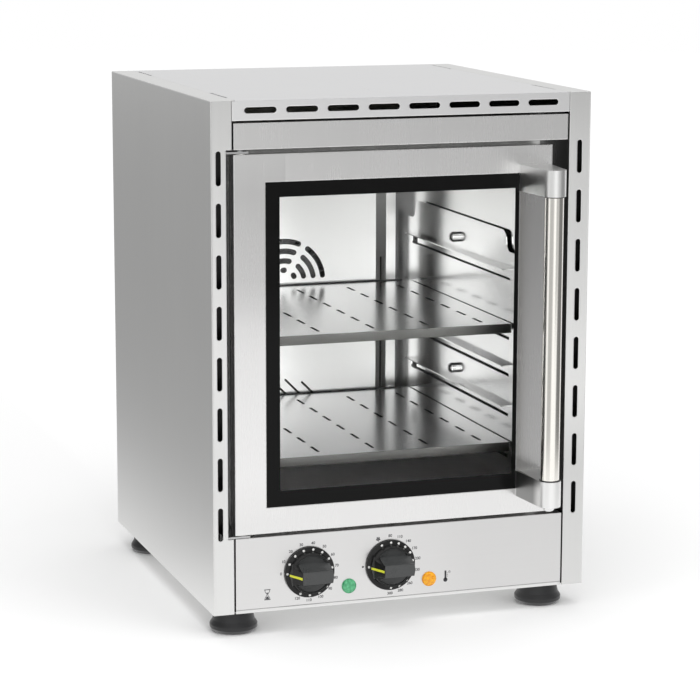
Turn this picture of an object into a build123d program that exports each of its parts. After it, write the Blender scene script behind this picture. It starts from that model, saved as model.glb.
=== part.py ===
from build123d import *
import math
import os

# Countertop convection oven. Millimetres, +Z up, the front faces -Y.
# X is measured from the middle of the case, Z from the table under the feet.
# While modelling, Y is measured from the front plane of the case. place() then
# moves each piece so that the origin is under the middle of the whole oven.

# Front of the case, read upwards from the table
FOOT_H = 25.0
SILL_H = 4.0
PANEL_H = 77.2
DOOR_GAP_BELOW = 3.3
DOOR_H = 400.0
DOOR_GAP_ABOVE = 5.1
FASCIA_H = 27.0
FASCIA_GAP = 2.6
TOP_FLANGE_H = 20.8

# Case
CASE_W = 420.0
CASE_D = 425.0
SHEET = 1.0
BEND_R = 0.8
PANEL_JOINT = 0.3
LEFT_FLANGE_W = 22.5
RIGHT_FLANGE_W = 24.0
HINGE_FLANGE_W = 16.3
PANEL_SIDE_GAP = 1.9
RECESS_D = 35.5
CASE_LIP_W = 15.0
TOP_SIDE_FLANGE_W = 25.9
LEDGE_W = 14.0
RETURN_D = 14.0

# Ventilation slots in the front flanges and along the top joints
SLOT_W = 5.4
SIDE_SLOT_COUNT = 8
SIDE_SLOT_L = 35.5
SIDE_SLOT_OVERRUN = 4.3
TOP_SLOT_COUNT = 8
TOP_SLOT_L = 34.2
TOP_SLOT_W = 6.4
TOP_SLOT_MARGIN = 13.3
JOINT_SLOT_L = 65.0
JOINT_SLOT_W = 2.4
JOINT_SLOT_FRONT = 33.0
JOINT_SLOT_REAR = 16.5

# Cooking chamber, placed from the door's edges and the case's back
CHAMBER_FROM_HINGE_EDGE = 18.0
CHAMBER_FROM_LATCH_EDGE = 19.0
CHAMBER_ABOVE_DOOR_FOOT = 21.5
CHAMBER_BELOW_DOOR_TOP = 29.5
REAR_SPACE = 19.0
FRAME_MARGIN = 30.0
SEAL_W = 8.0
SEAL_INSET = 2.0
SEAL_GAP = 0.5
SEAL_ROUND = 1.4

# Door
DOOR_FROM_LEFT = 24.0
DOOR_FROM_RIGHT = 43.0
DOOR_T = 32.0
SKIN_FOLD = 13.0
SKIN_ROUND = 0.8
PAN_INSET = 3.0
PAN_HINGE_INSET = 6.5
WINDOW_LEFT = 34.2
WINDOW_RIGHT = 37.4
WINDOW_BELOW = 27.9
WINDOW_ABOVE = 29.0
GLASS_T = 4.0
OUTER_GLASS_LAP = 8.5
PAN_WINDOW_LEFT = 38.0
PAN_WINDOW_RIGHT = 27.0
PAN_WINDOW_BELOW = 33.5
PAN_WINDOW_ABOVE = 32.5
INNER_GLASS_LAP = 7.0
RAIL_H = 7.0
RAIL_INSET = 1.0
RAIL_MARGIN = 24.0

# Hinges
PIN_X = 9.0
PIN_Y = 7.5
PIN_R = 3.0
PIN_L = 11.0
PIN_HEAD_R = 4.5
PIN_HEAD_T = 1.2
RUNNING = 0.05
BUSH_WALL = 1.6
BUSH_L = 6.0
BUSH_FLANGE_W = 1.4
BUSH_FLANGE_T = 0.7
HINGE_GAP = 0.3
HINGE_T = 2.0
HINGE_LEAF_W = 24.0
HINGE_LEAF_H = 26.0

# Handle
TUBE_R = 10.0
TUBE_WALL = 1.5
HANDLE_REACH = 55.0
HANDLE_FROM_LATCH_EDGE = 21.0
BRACKET_H = 28.0
BRACKET_BASE_W = 33.0
BRACKET_NOSE_R = 12.0
BRACKET_FROM_TOP = 20.0
BRACKET_FROM_FOOT = 20.1
HANDLE_SCREW_R = 2.5
HANDLE_SCREW_L = 16.0

# Controls
KNOB_ABOVE_SILL = 35.5
TIMER_FROM_LEFT = 105.0
KNOB_PITCH = 91.0
LAMP_SHIFT = 44.5
LAMP_ABOVE_SILL = 16.0
LAMP_R = 8.0
LAMP_SHOULDER = 1.0
LAMP_PROUD = 3.5
LAMP_ROUND = 1.8
LAMP_D = 20.0
KNOB_GAP = 0.8
SKIRT_R = 27.5
SKIRT_T = 2.4
CROWN_R = 23.0
CROWN_DRAFT = 7.0
CROWN_H = 11.0
POCKET_RIM = 2.2
POCKET_D = 2.5
GRIP_H = 27.0
GRIP_W = 13.4
GRIP_ROOT_W = 25.0
GRIP_TIP = 24.4
GRIP_NOSE = 15.3
GRIP_TAIL = 18.8
GRIP_ROUND = 0.7
GRIP_SCOOP = 0.18
SHAFT_R = 3.0
SHAFT_FLAT = 1.0
SHAFT_OUT = 14.0
SHAFT_IN = 12.0
BOSS_R = 5.5
TIMER_D = 34.0
THERMOSTAT_D = 24.0
CONTROL_W = 46.0
CONTROL_H = 37.0

# Racks and shelves, with heights above the chamber's floor
RACK_GAP = 4.0
RACK_T = 1.0
RACK_FRONT = 44.0
RACK_FROM_BACK = 18.0
RACK_FOOT = 6.0
RACK_SHOULDER = 256.0
RACK_TOP = 278.0
SHOULDER_L = 17.0
TONGUE_LEVELS = (39.4, 85.7, 130.6, 171.5, 237.5)
TONGUE_W = 9.0
TONGUE_FROM_FRONT = 16.0
TONGUE_FROM_REAR = 18.0
TONGUE_SLOT_H = 13.0
NUT_R = 5.8
NUT_HEX_T = 3.0
NUT_Y = 220.0
NUT_LEVELS = (99.1, 251.9)
# Tongues of a rack that lie under the one that carries the shelf
UPPER_SHELF_TONGUE_COUNT = 3
LOWER_SHELF_TONGUE_COUNT = 0
SHELF_SIDE_CLEAR = 1.5
SHELF_FRONT = 50.0
SHELF_REAR_CLEAR = 4.0
SHELF_T = 1.2
SHELF_LIP = 10.0
SHELF_FLANGE = 7.0
SHELF_SEAT = 0.3
SHELF_ROWS = 5
SHELF_ROW_MARGIN = 27.5
SHELF_SLOTS = 6
SHELF_SLOT_L = 27.0
SHELF_SLOT_W = 3.6
SHELF_SLOT_FRONT = 18.4
SHELF_SLOT_REAR = 32.6

# Air baffle
FAN_FROM_MIDDLE = 5.0
FAN_ABOVE_FLOOR = 182.4
BAFFLE_D = 26.0
BAFFLE_SIDE_CLEAR = 8.0
BAFFLE_END_CLEAR = 4.0
BAFFLE_WING = 22.0
BAFFLE_FOOT = 12.0
GRILLE_RADII = (14.5, 25.7, 37.4, 49.0)
GRILLE_SLOT_W = 6.6
GRILLE_SPOKES = 6
GRILLE_BAR = 6.4
VENT_R = 60.5
VENT_ABOVE_FLOOR = 4.3
VENT_SLOT_FOOT = 15.3
VENT_SLOT_W = 2.6
VENT_PITCH = 16.8
VENT_SLOTS = 8
VENT_SLOTS_LEFT = 3
WING_SLOT_W = 8.0
WING_SLOT_FOOT = 32.0
WING_SLOT_TOP = 206.0
BAFFLE_SCREW_INSET = 40.0

# Fan, motor and heater
FAN_GAP = 3.5
IMPELLER_R = 74.0
IMPELLER_D = 16.0
IMPELLER_BLADES = 14
BLADE_L = 26.0
BLADE_T = 1.2
HUB_R = 9.0
HUB_SET_BACK = 2.0
FAN_NUT_R = 7.5
FAN_NUT_T = 4.0
MOTOR_SHAFT_R = 4.0
SHAFT_FIT = 0.06
COLLAR_R = 9.0
MOTOR_STAND = 3.0
MOTOR_CORE = 60.0
MOTOR_CORE_D = 26.0
MOTOR_BELL_R = 24.0
MOTOR_BELL_D = 6.0
COIL_W = 44.0
COIL_H = 14.0
COIL_OVER = 4.0
BRACKET_PLATE = 120.0
BRACKET_T = 2.0
POST_R = 5.0
POST_SPAN = 96.0
COVER_W = 168.0
COVER_H = 168.0
COVER_D = 60.0
COVER_FLANGE = 12.0
COVER_SCREW_SPAN = 112.0
LOUVRE_L = 90.0
LOUVRE_W = 5.0
LOUVRE_COUNT = 8
LOUVRE_MARGIN = 30.0
ELEMENT_R = 96.0
ELEMENT_TUBE_R = 3.3
ELEMENT_LEG = 30.0

# Mineral wool
BATT_T = 22.0
BOTTOM_BATT_T = 11.0
BATT_GAP = 0.5

# Screws, feet and small fittings
FIT = 0.05
SCREW_R = 2.0
SCREW_L = 7.0
COVER_SCREW_L = 2.4
SCREW_HEAD_R = 3.8
SCREW_HEAD_T = 2.0
DOOR_SCREW_HEAD_T = 1.4
SCREW_END_INSET = 40.0
FOOT_R = 25.5
FOOT_NECK_R = 22.6
FOOT_TOP_R = 20.0
FOOT_BASE_R = 21.5
FOOT_RIM_Z = 4.2
FOOT_RIM_TOP = 8.0
FOOT_NECK_Z = 12.6
FOOT_ROUND = 1.6
FOOT_COLLAR_R = 5.0
FOOT_FROM_LEFT = 30.0
FOOT_FROM_RIGHT = 40.0
FOOT_FROM_FRONT = 30.0
FOOT_FROM_REAR = 50.0
VENT_ROW_INSET = 85.0
VENT_ROW_L = 40.0
VENT_ROW_W = 200.0
GLAND_R = 9.0
GLAND_COLLAR = 3.0
GLAND_BORE_R = 4.2
GLAND_FROM_RIGHT = 80.0
GLAND_ABOVE_FLOOR = 40.0
GLAND_OUT = 16.0
GLAND_NUT_T = 5.0
CATCH_W = 9.0
CATCH_H = 40.0
CATCH_BODY = 14.0
CATCH_FROM_SEAL = 1.5
TERMINAL_W = 52.0
TERMINAL_D = 28.0
TERMINAL_H = 16.0
TERMINAL_FROM_REAR = 34.0
TERMINAL_HOLE_R = 3.2
TERMINAL_PITCH = 15.0
CUTOUT_W = 28.0
CUTOUT_H = 20.0
CUTOUT_D = 9.0
CUTOUT_INSET = 14.0

# Places worked out from the sizes above
case_left = -CASE_W / 2
case_right = CASE_W / 2
floor_z = FOOT_H
panel_z0 = floor_z + SILL_H
panel_z1 = panel_z0 + PANEL_H
door_z0 = panel_z1 + DOOR_GAP_BELOW
door_z1 = door_z0 + DOOR_H
door_mid_z = (door_z0 + door_z1) / 2
fascia_z0 = door_z1 + DOOR_GAP_ABOVE
fascia_z1 = fascia_z0 + FASCIA_H
top_flange_z = fascia_z1 + FASCIA_GAP
case_top = top_flange_z + TOP_FLANGE_H
rear_in = CASE_D - SHEET
front_x0 = case_left + LEFT_FLANGE_W + PANEL_SIDE_GAP
front_x1 = case_right - RIGHT_FLANGE_W - PANEL_SIDE_GAP
hinge_x0 = case_left + HINGE_FLANGE_W
leaf_x0 = hinge_x0 + PANEL_JOINT
leaf_x1 = hinge_x0 + HINGE_LEAF_W
frame_back = RECESS_D + SHEET
frame_x = CASE_W / 2 - SHEET - PANEL_JOINT
door_x0 = case_left + DOOR_FROM_LEFT
door_x1 = case_right - DOOR_FROM_RIGHT
chamber_x0 = door_x0 + CHAMBER_FROM_HINGE_EDGE
chamber_x1 = door_x1 - CHAMBER_FROM_LATCH_EDGE
chamber_x = (chamber_x0 + chamber_x1) / 2
chamber_half = (chamber_x1 - chamber_x0) / 2
chamber_z0 = door_z0 + CHAMBER_ABOVE_DOOR_FOOT
chamber_z1 = door_z1 - CHAMBER_BELOW_DOOR_TOP
chamber_back_y = CASE_D - REAR_SPACE
seal_out = SEAL_INSET + SEAL_W
seal_front = DOOR_T + SEAL_GAP
window_x0 = door_x0 + WINDOW_LEFT
window_x1 = door_x1 - WINDOW_RIGHT
window_z0 = door_z0 + WINDOW_BELOW
window_z1 = door_z1 - WINDOW_ABOVE
pan_x0 = door_x0 + PAN_HINGE_INSET
pan_x1 = door_x1 - PAN_INSET
pan_z0 = door_z0 + PAN_INSET
pan_z1 = door_z1 - PAN_INSET
pan_window_x0 = door_x0 + PAN_WINDOW_LEFT
pan_window_x1 = door_x1 - PAN_WINDOW_RIGHT
pan_window_z0 = door_z0 + PAN_WINDOW_BELOW
pan_window_z1 = door_z1 - PAN_WINDOW_ABOVE
outer_glass_y1 = SHEET + GLASS_T
inner_glass_y0 = DOOR_T - SHEET - GLASS_T
pin_x = door_x0 + PIN_X
bush_r = PIN_R + RUNNING + BUSH_WALL
plate_stand = HINGE_GAP + BUSH_FLANGE_T
handle_x = door_x1 - HANDLE_FROM_LATCH_EDGE
bracket_zs = (door_z0 + BRACKET_FROM_FOOT, door_z1 - BRACKET_FROM_TOP - BRACKET_H)
door_screw_y = (SKIN_FOLD + DOOR_T) / 2
knob_z = panel_z0 + KNOB_ABOVE_SILL
lamp_z = panel_z0 + LAMP_ABOVE_SILL
timer_x = case_left + TIMER_FROM_LEFT
thermostat_x = timer_x + KNOB_PITCH
rack_face = chamber_half - RACK_GAP
rack_rear = chamber_back_y - RACK_FROM_BACK
baffle_y = chamber_back_y - BAFFLE_D
baffle_half = chamber_half - BAFFLE_SIDE_CLEAR - BAFFLE_FOOT - BAFFLE_WING
shelf_half = rack_face - SHELF_SIDE_CLEAR
shelf_rear = baffle_y - SHELF_REAR_CLEAR
fan_x = chamber_x - FAN_FROM_MIDDLE
fan_z = chamber_z0 + FAN_ABOVE_FLOOR
impeller_y0 = baffle_y + SHEET + FAN_GAP
impeller_y1 = impeller_y0 + IMPELLER_D
motor_y = CASE_D + MOTOR_STAND
motor_rear = motor_y + 2 * MOTOR_BELL_D + MOTOR_CORE_D
cover_rear = CASE_D + COVER_D
element_y = (baffle_y + SHEET + chamber_back_y) / 2
element_leg_z = fan_z + math.sqrt(ELEMENT_R ** 2 - ELEMENT_LEG ** 2)
gland_x = case_right - GLAND_FROM_RIGHT
gland_z = floor_z + GLAND_ABOVE_FLOOR
foot_xs = (case_left + FOOT_FROM_LEFT, case_right - FOOT_FROM_RIGHT)
foot_ys = (FOOT_FROM_FRONT, CASE_D - FOOT_FROM_REAR)
feet = [(x, y) for y in foot_ys for x in foot_xs]
rear_screws = [(side * (CASE_W - CASE_LIP_W) / 2, z) for side in (-1, 1)
               for z in (floor_z + SCREW_END_INSET, (floor_z + case_top) / 2, case_top - SCREW_END_INSET)]
cover_screws = [(fan_x + sx * (COVER_W + COVER_FLANGE) / 2, fan_z + sz * COVER_SCREW_SPAN / 2)
                for sx in (-1, 1) for sz in (-1, 1)]
baffle_screws = [(fan_x + side * (baffle_half + BAFFLE_WING + BAFFLE_FOOT / 2), z) for side in (-1, 1)
                 for z in (chamber_z0 + BAFFLE_SCREW_INSET, chamber_z1 - BAFFLE_SCREW_INSET)]
y_shift = (HANDLE_REACH + BRACKET_NOSE_R - cover_rear) / 2

os.makedirs("parts", exist_ok=True)


def place(name, shape):
    """Moves a finished piece so that the origin is under the middle of the oven, and writes it."""
    export_step(Pos(0, y_shift, 0) * shape, "parts/" + name + ".step")


def group(pieces):
    """Several separate solids kept in one file."""
    return Compound([solid for piece in pieces for solid in piece.solids()])


def block(x0, x1, y0, y1, z0, z1):
    """A box between two corners."""
    return Pos((x0 + x1) / 2, (y0 + y1) / 2, (z0 + z1) / 2) * Box(x1 - x0, y1 - y0, z1 - z0)


def span(a, b):
    """Two numbers in rising order."""
    return (min(a, b), max(a, b))


def rod_x(y, z, x0, x1, radius):
    """A round bar along X."""
    low, high = span(x0, x1)
    return Pos((low + high) / 2, y, z) * Rot(0, 90, 0) * Cylinder(radius, high - low)


def rod_y(x, z, y0, y1, radius):
    """A round bar along Y."""
    low, high = span(y0, y1)
    return Pos(x, (low + high) / 2, z) * Rot(90, 0, 0) * Cylinder(radius, high - low)


def rod_z(x, y, z0, z1, radius):
    """A round bar along Z."""
    return Pos(x, y, (z0 + z1) / 2) * Cylinder(radius, z1 - z0)


def cut_y(sketch, y, depth):
    """A flat shape, drawn as seen from the front, made into a cutter that goes through a sheet at y."""
    return Pos(0, y, 0) * extrude(Plane.XZ * sketch, amount=depth, both=True)


def slot(x, z, length, width, angle):
    """A round-ended slot seen from the front. At angle 0 it lies along X."""
    return Pos(x, z) * Rot(0, 0, angle) * SlotOverall(length, width)


def spaced(start, end, count, length):
    """Middles of equal slots that fill the room between two ends."""
    first = start + length / 2
    pitch = (end - start - length) / (count - 1)
    return [first + i * pitch for i in range(count)]


def window_frame(outer, inner, y0, y1):
    """A flat frame across Y: an outer rectangle less an inner one, each x0, x1, z0, z1."""
    body = block(outer[0], outer[1], y0, y1, outer[2], outer[3])
    return body - block(inner[0], inner[1], y0 - SHEET, y1 + SHEET, inner[2], inner[3])


def screw_y(x, z, y_face, out, length):
    """A screw along Y. Its head stands off y_face toward out, +1 or -1."""
    head = rod_y(x, z, y_face, y_face + out * SCREW_HEAD_T, SCREW_HEAD_R)
    return head + rod_y(x, z, y_face, y_face - out * length, SCREW_R)


def holes_y(places, y):
    """Clearance holes for screws through the sheets that lie at y."""
    return [rod_y(x, z, y - SCREW_L, y + SCREW_L, SCREW_R + FIT) for x, z in places]


def long_edges(shape, axis, x=None, y=None, z=None):
    """The edges along an axis that lie at the given coordinates."""
    found = shape.edges().filter_by(axis)
    for value, along in ((x, Axis.X), (y, Axis.Y), (z, Axis.Z)):
        if value is not None:
            found = found.filter_by_position(along, value - FIT, value + FIT)
    return found


def side_panel(side):
    """One side as its plates, which meet along the folds: skin, slotted front flange with a return lip by the
    door, bottom and rear lips, and top flange."""
    edge = side * CASE_W / 2
    flange_w = LEFT_FLANGE_W if side < 0 else RIGHT_FLANGE_W
    beside_door = HINGE_FLANGE_W if side < 0 else RIGHT_FLANGE_W

    def inward(depth0, depth1, y0, y1, z0, z1):
        return block(*span(edge - side * depth0, edge - side * depth1), y0, y1, z0, z1)

    skin = inward(0, SHEET, 0, CASE_D, floor_z, case_top)
    bends = long_edges(skin, Axis.Z, x=edge, y=0) + long_edges(skin, Axis.Y, x=edge, z=case_top)
    bends += long_edges(skin, Axis.X, y=0, z=case_top)
    skin = fillet(bends, BEND_R)
    flange = inward(SHEET, flange_w, 0, SHEET, floor_z, case_top)
    if beside_door < flange_w:
        flange -= inward(beside_door, flange_w + SHEET, -SHEET, 2 * SHEET, panel_z1, fascia_z0)
    middle = edge - side * beside_door / 2
    for z in spaced(door_z0 - SIDE_SLOT_OVERRUN, door_z1 + SIDE_SLOT_OVERRUN, SIDE_SLOT_COUNT, SIDE_SLOT_L):
        flange -= cut_y(slot(middle, z, SIDE_SLOT_L, SLOT_W, 90), 0, 2 * SHEET)
    flange = fillet(long_edges(flange, Axis.X, y=0, z=case_top), BEND_R)
    return_lip = inward(beside_door - SHEET, beside_door, SHEET, RECESS_D, panel_z1, fascia_z0)
    bottom_lip = inward(SHEET, CASE_LIP_W, SHEET, rear_in - SHEET, floor_z, floor_z + SHEET)
    rear_lip = inward(SHEET, CASE_LIP_W, rear_in - SHEET, rear_in, floor_z, case_top - SHEET)
    for hole in holes_y([spot for spot in rear_screws if spot[0] * side > 0], CASE_D):
        rear_lip -= hole
    top_flange = inward(SHEET, TOP_SIDE_FLANGE_W, SHEET, CASE_D, case_top - SHEET, case_top)
    return group([skin, flange, return_lip, bottom_lip, rear_lip, top_flange])


def top_panel():
    """The top: a plate between the side flanges, ledges under them, and a slotted front flange."""
    half = CASE_W / 2 - TOP_SIDE_FLANGE_W - PANEL_JOINT
    x0 = case_left + LEFT_FLANGE_W + PANEL_JOINT
    x1 = case_right - RIGHT_FLANGE_W - PANEL_JOINT
    top = block(-half, half, 0, CASE_D, case_top - SHEET, case_top)
    top += block(x0, x1, 0, SHEET, top_flange_z, case_top - SHEET)
    top += block(-half, half, 0, SHEET, case_top - SHEET, case_top)
    top += block(x0, x1, 0, RETURN_D, top_flange_z, top_flange_z + SHEET)
    for side in (-1, 1):
        ledge = span(side * (half - SHEET), side * (half + LEDGE_W))
        top += block(*ledge, SHEET, rear_in - SHEET, case_top - 2 * SHEET, case_top - SHEET)
        joint = span(side * half, side * (half - JOINT_SLOT_W))
        for y0 in (JOINT_SLOT_FRONT, CASE_D - JOINT_SLOT_REAR - JOINT_SLOT_L):
            top -= block(*joint, y0, y0 + JOINT_SLOT_L, case_top - 3 * SHEET, case_top + SHEET)
    for x in spaced(x0 + TOP_SLOT_MARGIN, x1 - TOP_SLOT_MARGIN, TOP_SLOT_COUNT, TOP_SLOT_L):
        top -= cut_y(slot(x, (top_flange_z + case_top) / 2, TOP_SLOT_L, TOP_SLOT_W, 0), 0, 2 * SHEET)
    return fillet(long_edges(top, Axis.X, y=0, z=case_top), BEND_R)


def base_panel():
    """The floor of the case, on the side flanges, with a lip at the front and holes for the feet."""
    base = block(-frame_x, frame_x, SHEET, rear_in - SHEET, floor_z + SHEET, floor_z + 2 * SHEET)
    base += block(front_x0, front_x1, 0, SHEET, floor_z, panel_z0 - PANEL_JOINT)
    base += block(front_x0, front_x1, 0, 2 * SHEET, floor_z + SHEET, floor_z + 2 * SHEET)
    for x, y in feet:
        base -= rod_z(x, y, floor_z, floor_z + 3 * SHEET, SCREW_R + FIT)
    return base


def foot(x, y):
    """A rubber foot: a wide rounded rim under a conical neck, with a collar that meets the base panel."""
    shelf_z = floor_z + SHEET
    points = [(0, 0), (FOOT_BASE_R, 0), (FOOT_R, FOOT_RIM_Z), (FOOT_R, FOOT_RIM_TOP),
              (FOOT_NECK_R, FOOT_NECK_Z), (FOOT_TOP_R, FOOT_H),
              (FOOT_COLLAR_R, FOOT_H), (FOOT_COLLAR_R, shelf_z), (0, shelf_z)]
    body = revolve(make_face(Plane.XZ * Polyline(*points, close=True)), Axis.Z)
    rim_heights = (FOOT_RIM_Z, FOOT_RIM_TOP)
    rim = [e for e in body.edges() if min(abs(e.center().Z - z) for z in rim_heights) < FIT]
    body = fillet(rim, FOOT_ROUND)
    body -= rod_z(0, 0, shelf_z - SCREW_L, shelf_z + SHEET, SCREW_R + FIT)
    return Pos(x, y, 0) * body


def foot_screw(x, y):
    """The screw that holds a foot, with its head on the base panel."""
    top = floor_z + 2 * SHEET
    return rod_z(x, y, top, top + SCREW_HEAD_T, SCREW_HEAD_R) + rod_z(x, y, top - SCREW_L, top, SCREW_R)


def rear_panel():
    """The back of the case: two rows of vents, an opening for the motor, and the gland's hole."""
    rear = block(-frame_x, frame_x, rear_in, CASE_D, floor_z, case_top - SHEET - PANEL_JOINT)
    hole = BRACKET_PLATE / 2 + MOTOR_STAND
    rear -= block(fan_x - hole, fan_x + hole, rear_in - SHEET, CASE_D + SHEET,
                  fan_z - hole, fan_z + hole)
    for x in spaced(fan_x - VENT_ROW_W / 2, fan_x + VENT_ROW_W / 2, LOUVRE_COUNT, LOUVRE_W):
        for z in (floor_z + VENT_ROW_INSET, case_top - VENT_ROW_INSET):
            rear -= cut_y(slot(x, z, VENT_ROW_L, LOUVRE_W, 90), CASE_D, 2 * SHEET)
    rear -= rod_y(gland_x, gland_z, rear_in - SHEET, CASE_D + SHEET, GLAND_R + FIT)
    for hole in holes_y(rear_screws + cover_screws, CASE_D):
        rear -= hole
    return rear


def motor_cover():
    """The box over the motor: open toward the case, with side flanges and louvres."""
    x0 = fan_x - COVER_W / 2
    x1 = fan_x + COVER_W / 2
    z0 = fan_z - COVER_H / 2
    z1 = fan_z + COVER_H / 2
    cover = block(x0, x1, CASE_D, cover_rear, z0, z1)
    cover -= block(x0 + SHEET, x1 - SHEET, CASE_D - SHEET, cover_rear - SHEET, z0 + SHEET, z1 - SHEET)
    cover += block(x0 - COVER_FLANGE, x0 + SHEET, CASE_D, CASE_D + SHEET, z0, z1)
    cover += block(x1 - SHEET, x1 + COVER_FLANGE, CASE_D, CASE_D + SHEET, z0, z1)
    for z in spaced(z0 + LOUVRE_MARGIN, z1 - LOUVRE_MARGIN, LOUVRE_COUNT, LOUVRE_W):
        cover -= cut_y(slot(fan_x, z, LOUVRE_L, LOUVRE_W, 0), cover_rear, 2 * SHEET)
    for hole in holes_y(cover_screws, CASE_D):
        cover -= hole
    return cover


def hinge_notch(z):
    """The room that a fold at height z leaves for the hinge leaf behind it."""
    return block(hinge_x0 - SHEET, leaf_x1 + PANEL_JOINT, RECESS_D - HINGE_T - PANEL_JOINT, RECESS_D + SHEET,
                 z - 2 * SHEET, z + 2 * SHEET)


def fascia():
    """The strip over the door, folded back to the front frame at its top and bottom."""
    strip = block(front_x0, front_x1, 0, SHEET, fascia_z0, fascia_z1)
    strip += block(front_x0, front_x1, 0, RECESS_D, fascia_z1 - SHEET, fascia_z1)
    strip += block(front_x0, front_x1, 0, RECESS_D, fascia_z0, fascia_z0 + SHEET)
    return strip - hinge_notch(fascia_z0)


def control_panel():
    """The panel under the door, folded at its top and bottom, with holes for the controls and the lamps."""
    panel = block(front_x0, front_x1, 0, SHEET, panel_z0, panel_z1)
    panel += block(front_x0, front_x1, 0, RECESS_D, panel_z1 - SHEET, panel_z1)
    panel += block(front_x0, front_x1, 0, RETURN_D, panel_z0, panel_z0 + SHEET)
    for x in (timer_x, thermostat_x):
        panel -= rod_y(x, knob_z, -SHEET, 2 * SHEET, BOSS_R + FIT)
        panel -= rod_y(x + LAMP_SHIFT, lamp_z, -SHEET, 2 * SHEET, LAMP_R - LAMP_SHOULDER)
    return panel - hinge_notch(panel_z1)


def chamber_mouth(grow):
    """The chamber's mouth as x0, x1, z0, z1, grown on every side."""
    return (chamber_x0 - grow, chamber_x1 + grow, chamber_z0 - grow, chamber_z1 + grow)


def front_frame():
    """The frame round the chamber's mouth, which the case lips, the fascia and the panel butt against."""
    outer = (-frame_x, frame_x, chamber_z0 - FRAME_MARGIN, fascia_z1)
    return window_frame(outer, chamber_mouth(0), RECESS_D, frame_back) - magnet_catch()


def door_seal():
    """The gasket round the chamber's mouth, on the front frame."""
    ring = window_frame(chamber_mouth(seal_out), chamber_mouth(SEAL_INSET), seal_front, RECESS_D)
    front = ring.faces().sort_by(Axis.Y)[0]
    return fillet(front.edges(), SEAL_ROUND)


def catch_body(grow):
    """The magnet catch's body, behind the door's free edge, grown on the sides that lie in the wool."""
    x0 = chamber_x1 + seal_out + CATCH_FROM_SEAL
    z = door_mid_z
    return block(x0 - grow, x0 + CATCH_W + grow, seal_front, frame_back + CATCH_BODY + grow,
                 z - CATCH_H / 2 - grow, z + CATCH_H / 2 + grow)


def magnet_catch():
    """The magnet that holds the door shut, set in the front frame."""
    return catch_body(0)


def chamber_plate(z0):
    """The chamber's floor or roof."""
    return block(chamber_x0 - SHEET, chamber_x1 + SHEET, frame_back, chamber_back_y, z0, z0 + SHEET)


def chamber_wall(side):
    """A side wall of the chamber, with holes for the rack studs."""
    inner = chamber_x + side * chamber_half
    wall = block(*span(inner, inner + side * SHEET), frame_back, chamber_back_y, chamber_z0, chamber_z1)
    for level in NUT_LEVELS:
        z = chamber_z0 + level
        wall -= rod_x(NUT_Y, z, inner - side * SHEET, inner + side * 2 * SHEET, SCREW_R + FIT)
    return wall


def chamber_back():
    """The back of the chamber, with holes for the shaft's collar, the heater's ends and the screws."""
    back = block(chamber_x0 - SHEET, chamber_x1 + SHEET, chamber_back_y, chamber_back_y + SHEET,
                 chamber_z0 - SHEET, chamber_z1 + SHEET)
    back -= cut_y(Pos(fan_x, fan_z) * Circle(COLLAR_R + FIT), chamber_back_y, 2 * SHEET)
    for side in (-1, 1):
        back -= cut_y(Pos(fan_x + side * ELEMENT_LEG, element_leg_z) * Circle(ELEMENT_TUBE_R + FIT),
                      chamber_back_y, 2 * SHEET)
    for hole in holes_y(baffle_screws, chamber_back_y):
        back -= hole
    return back


def insulation_wrap():
    """The mineral wool folded over the chamber's roof and sides."""
    inner = SHEET + BATT_GAP
    outer = inner + BATT_T
    y0 = frame_back + BATT_GAP
    wrap = block(chamber_x0 - outer, chamber_x1 + outer, y0, chamber_back_y, chamber_z0, chamber_z1 + outer)
    wrap -= block(chamber_x0 - inner, chamber_x1 + inner, y0 - SHEET, CASE_D,
                  chamber_z0 - SHEET, chamber_z1 + inner)
    wrap -= catch_body(BATT_GAP)
    for side in (-1, 1):
        x = chamber_x + side * (chamber_half + inner)
        for level in NUT_LEVELS:
            wrap -= rod_x(NUT_Y, chamber_z0 + level, x - SCREW_L, x + SCREW_L, NUT_R)
    return wrap


def insulation_bottom():
    """The wool under the chamber's floor."""
    top = chamber_z0 - SHEET - BATT_GAP
    return block(chamber_x0, chamber_x1, frame_back + BATT_GAP, chamber_back_y, top - BOTTOM_BATT_T, top)


def insulation_rear():
    """The wool behind the chamber, cut out round the motor bracket, the heater's ends and the cut-out."""
    y0 = chamber_back_y + SHEET + BATT_GAP
    batt = block(chamber_x0, chamber_x1, y0, rear_in - BATT_GAP, chamber_z0, chamber_z1)
    hole = BRACKET_PLATE / 2 + MOTOR_STAND
    batt -= block(fan_x - hole, fan_x + hole, 0, CASE_D, fan_z - hole, fan_z + hole)
    for x in (fan_x - ELEMENT_LEG, fan_x + ELEMENT_LEG):
        batt -= rod_y(x, element_leg_z, y0 - SHEET, CASE_D, ELEMENT_TUBE_R + BATT_GAP)
    for x, z in baffle_screws:
        batt -= rod_y(x, z, y0 - SHEET, CASE_D, SCREW_HEAD_R)
    return batt - cutout_body(BATT_GAP)


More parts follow.
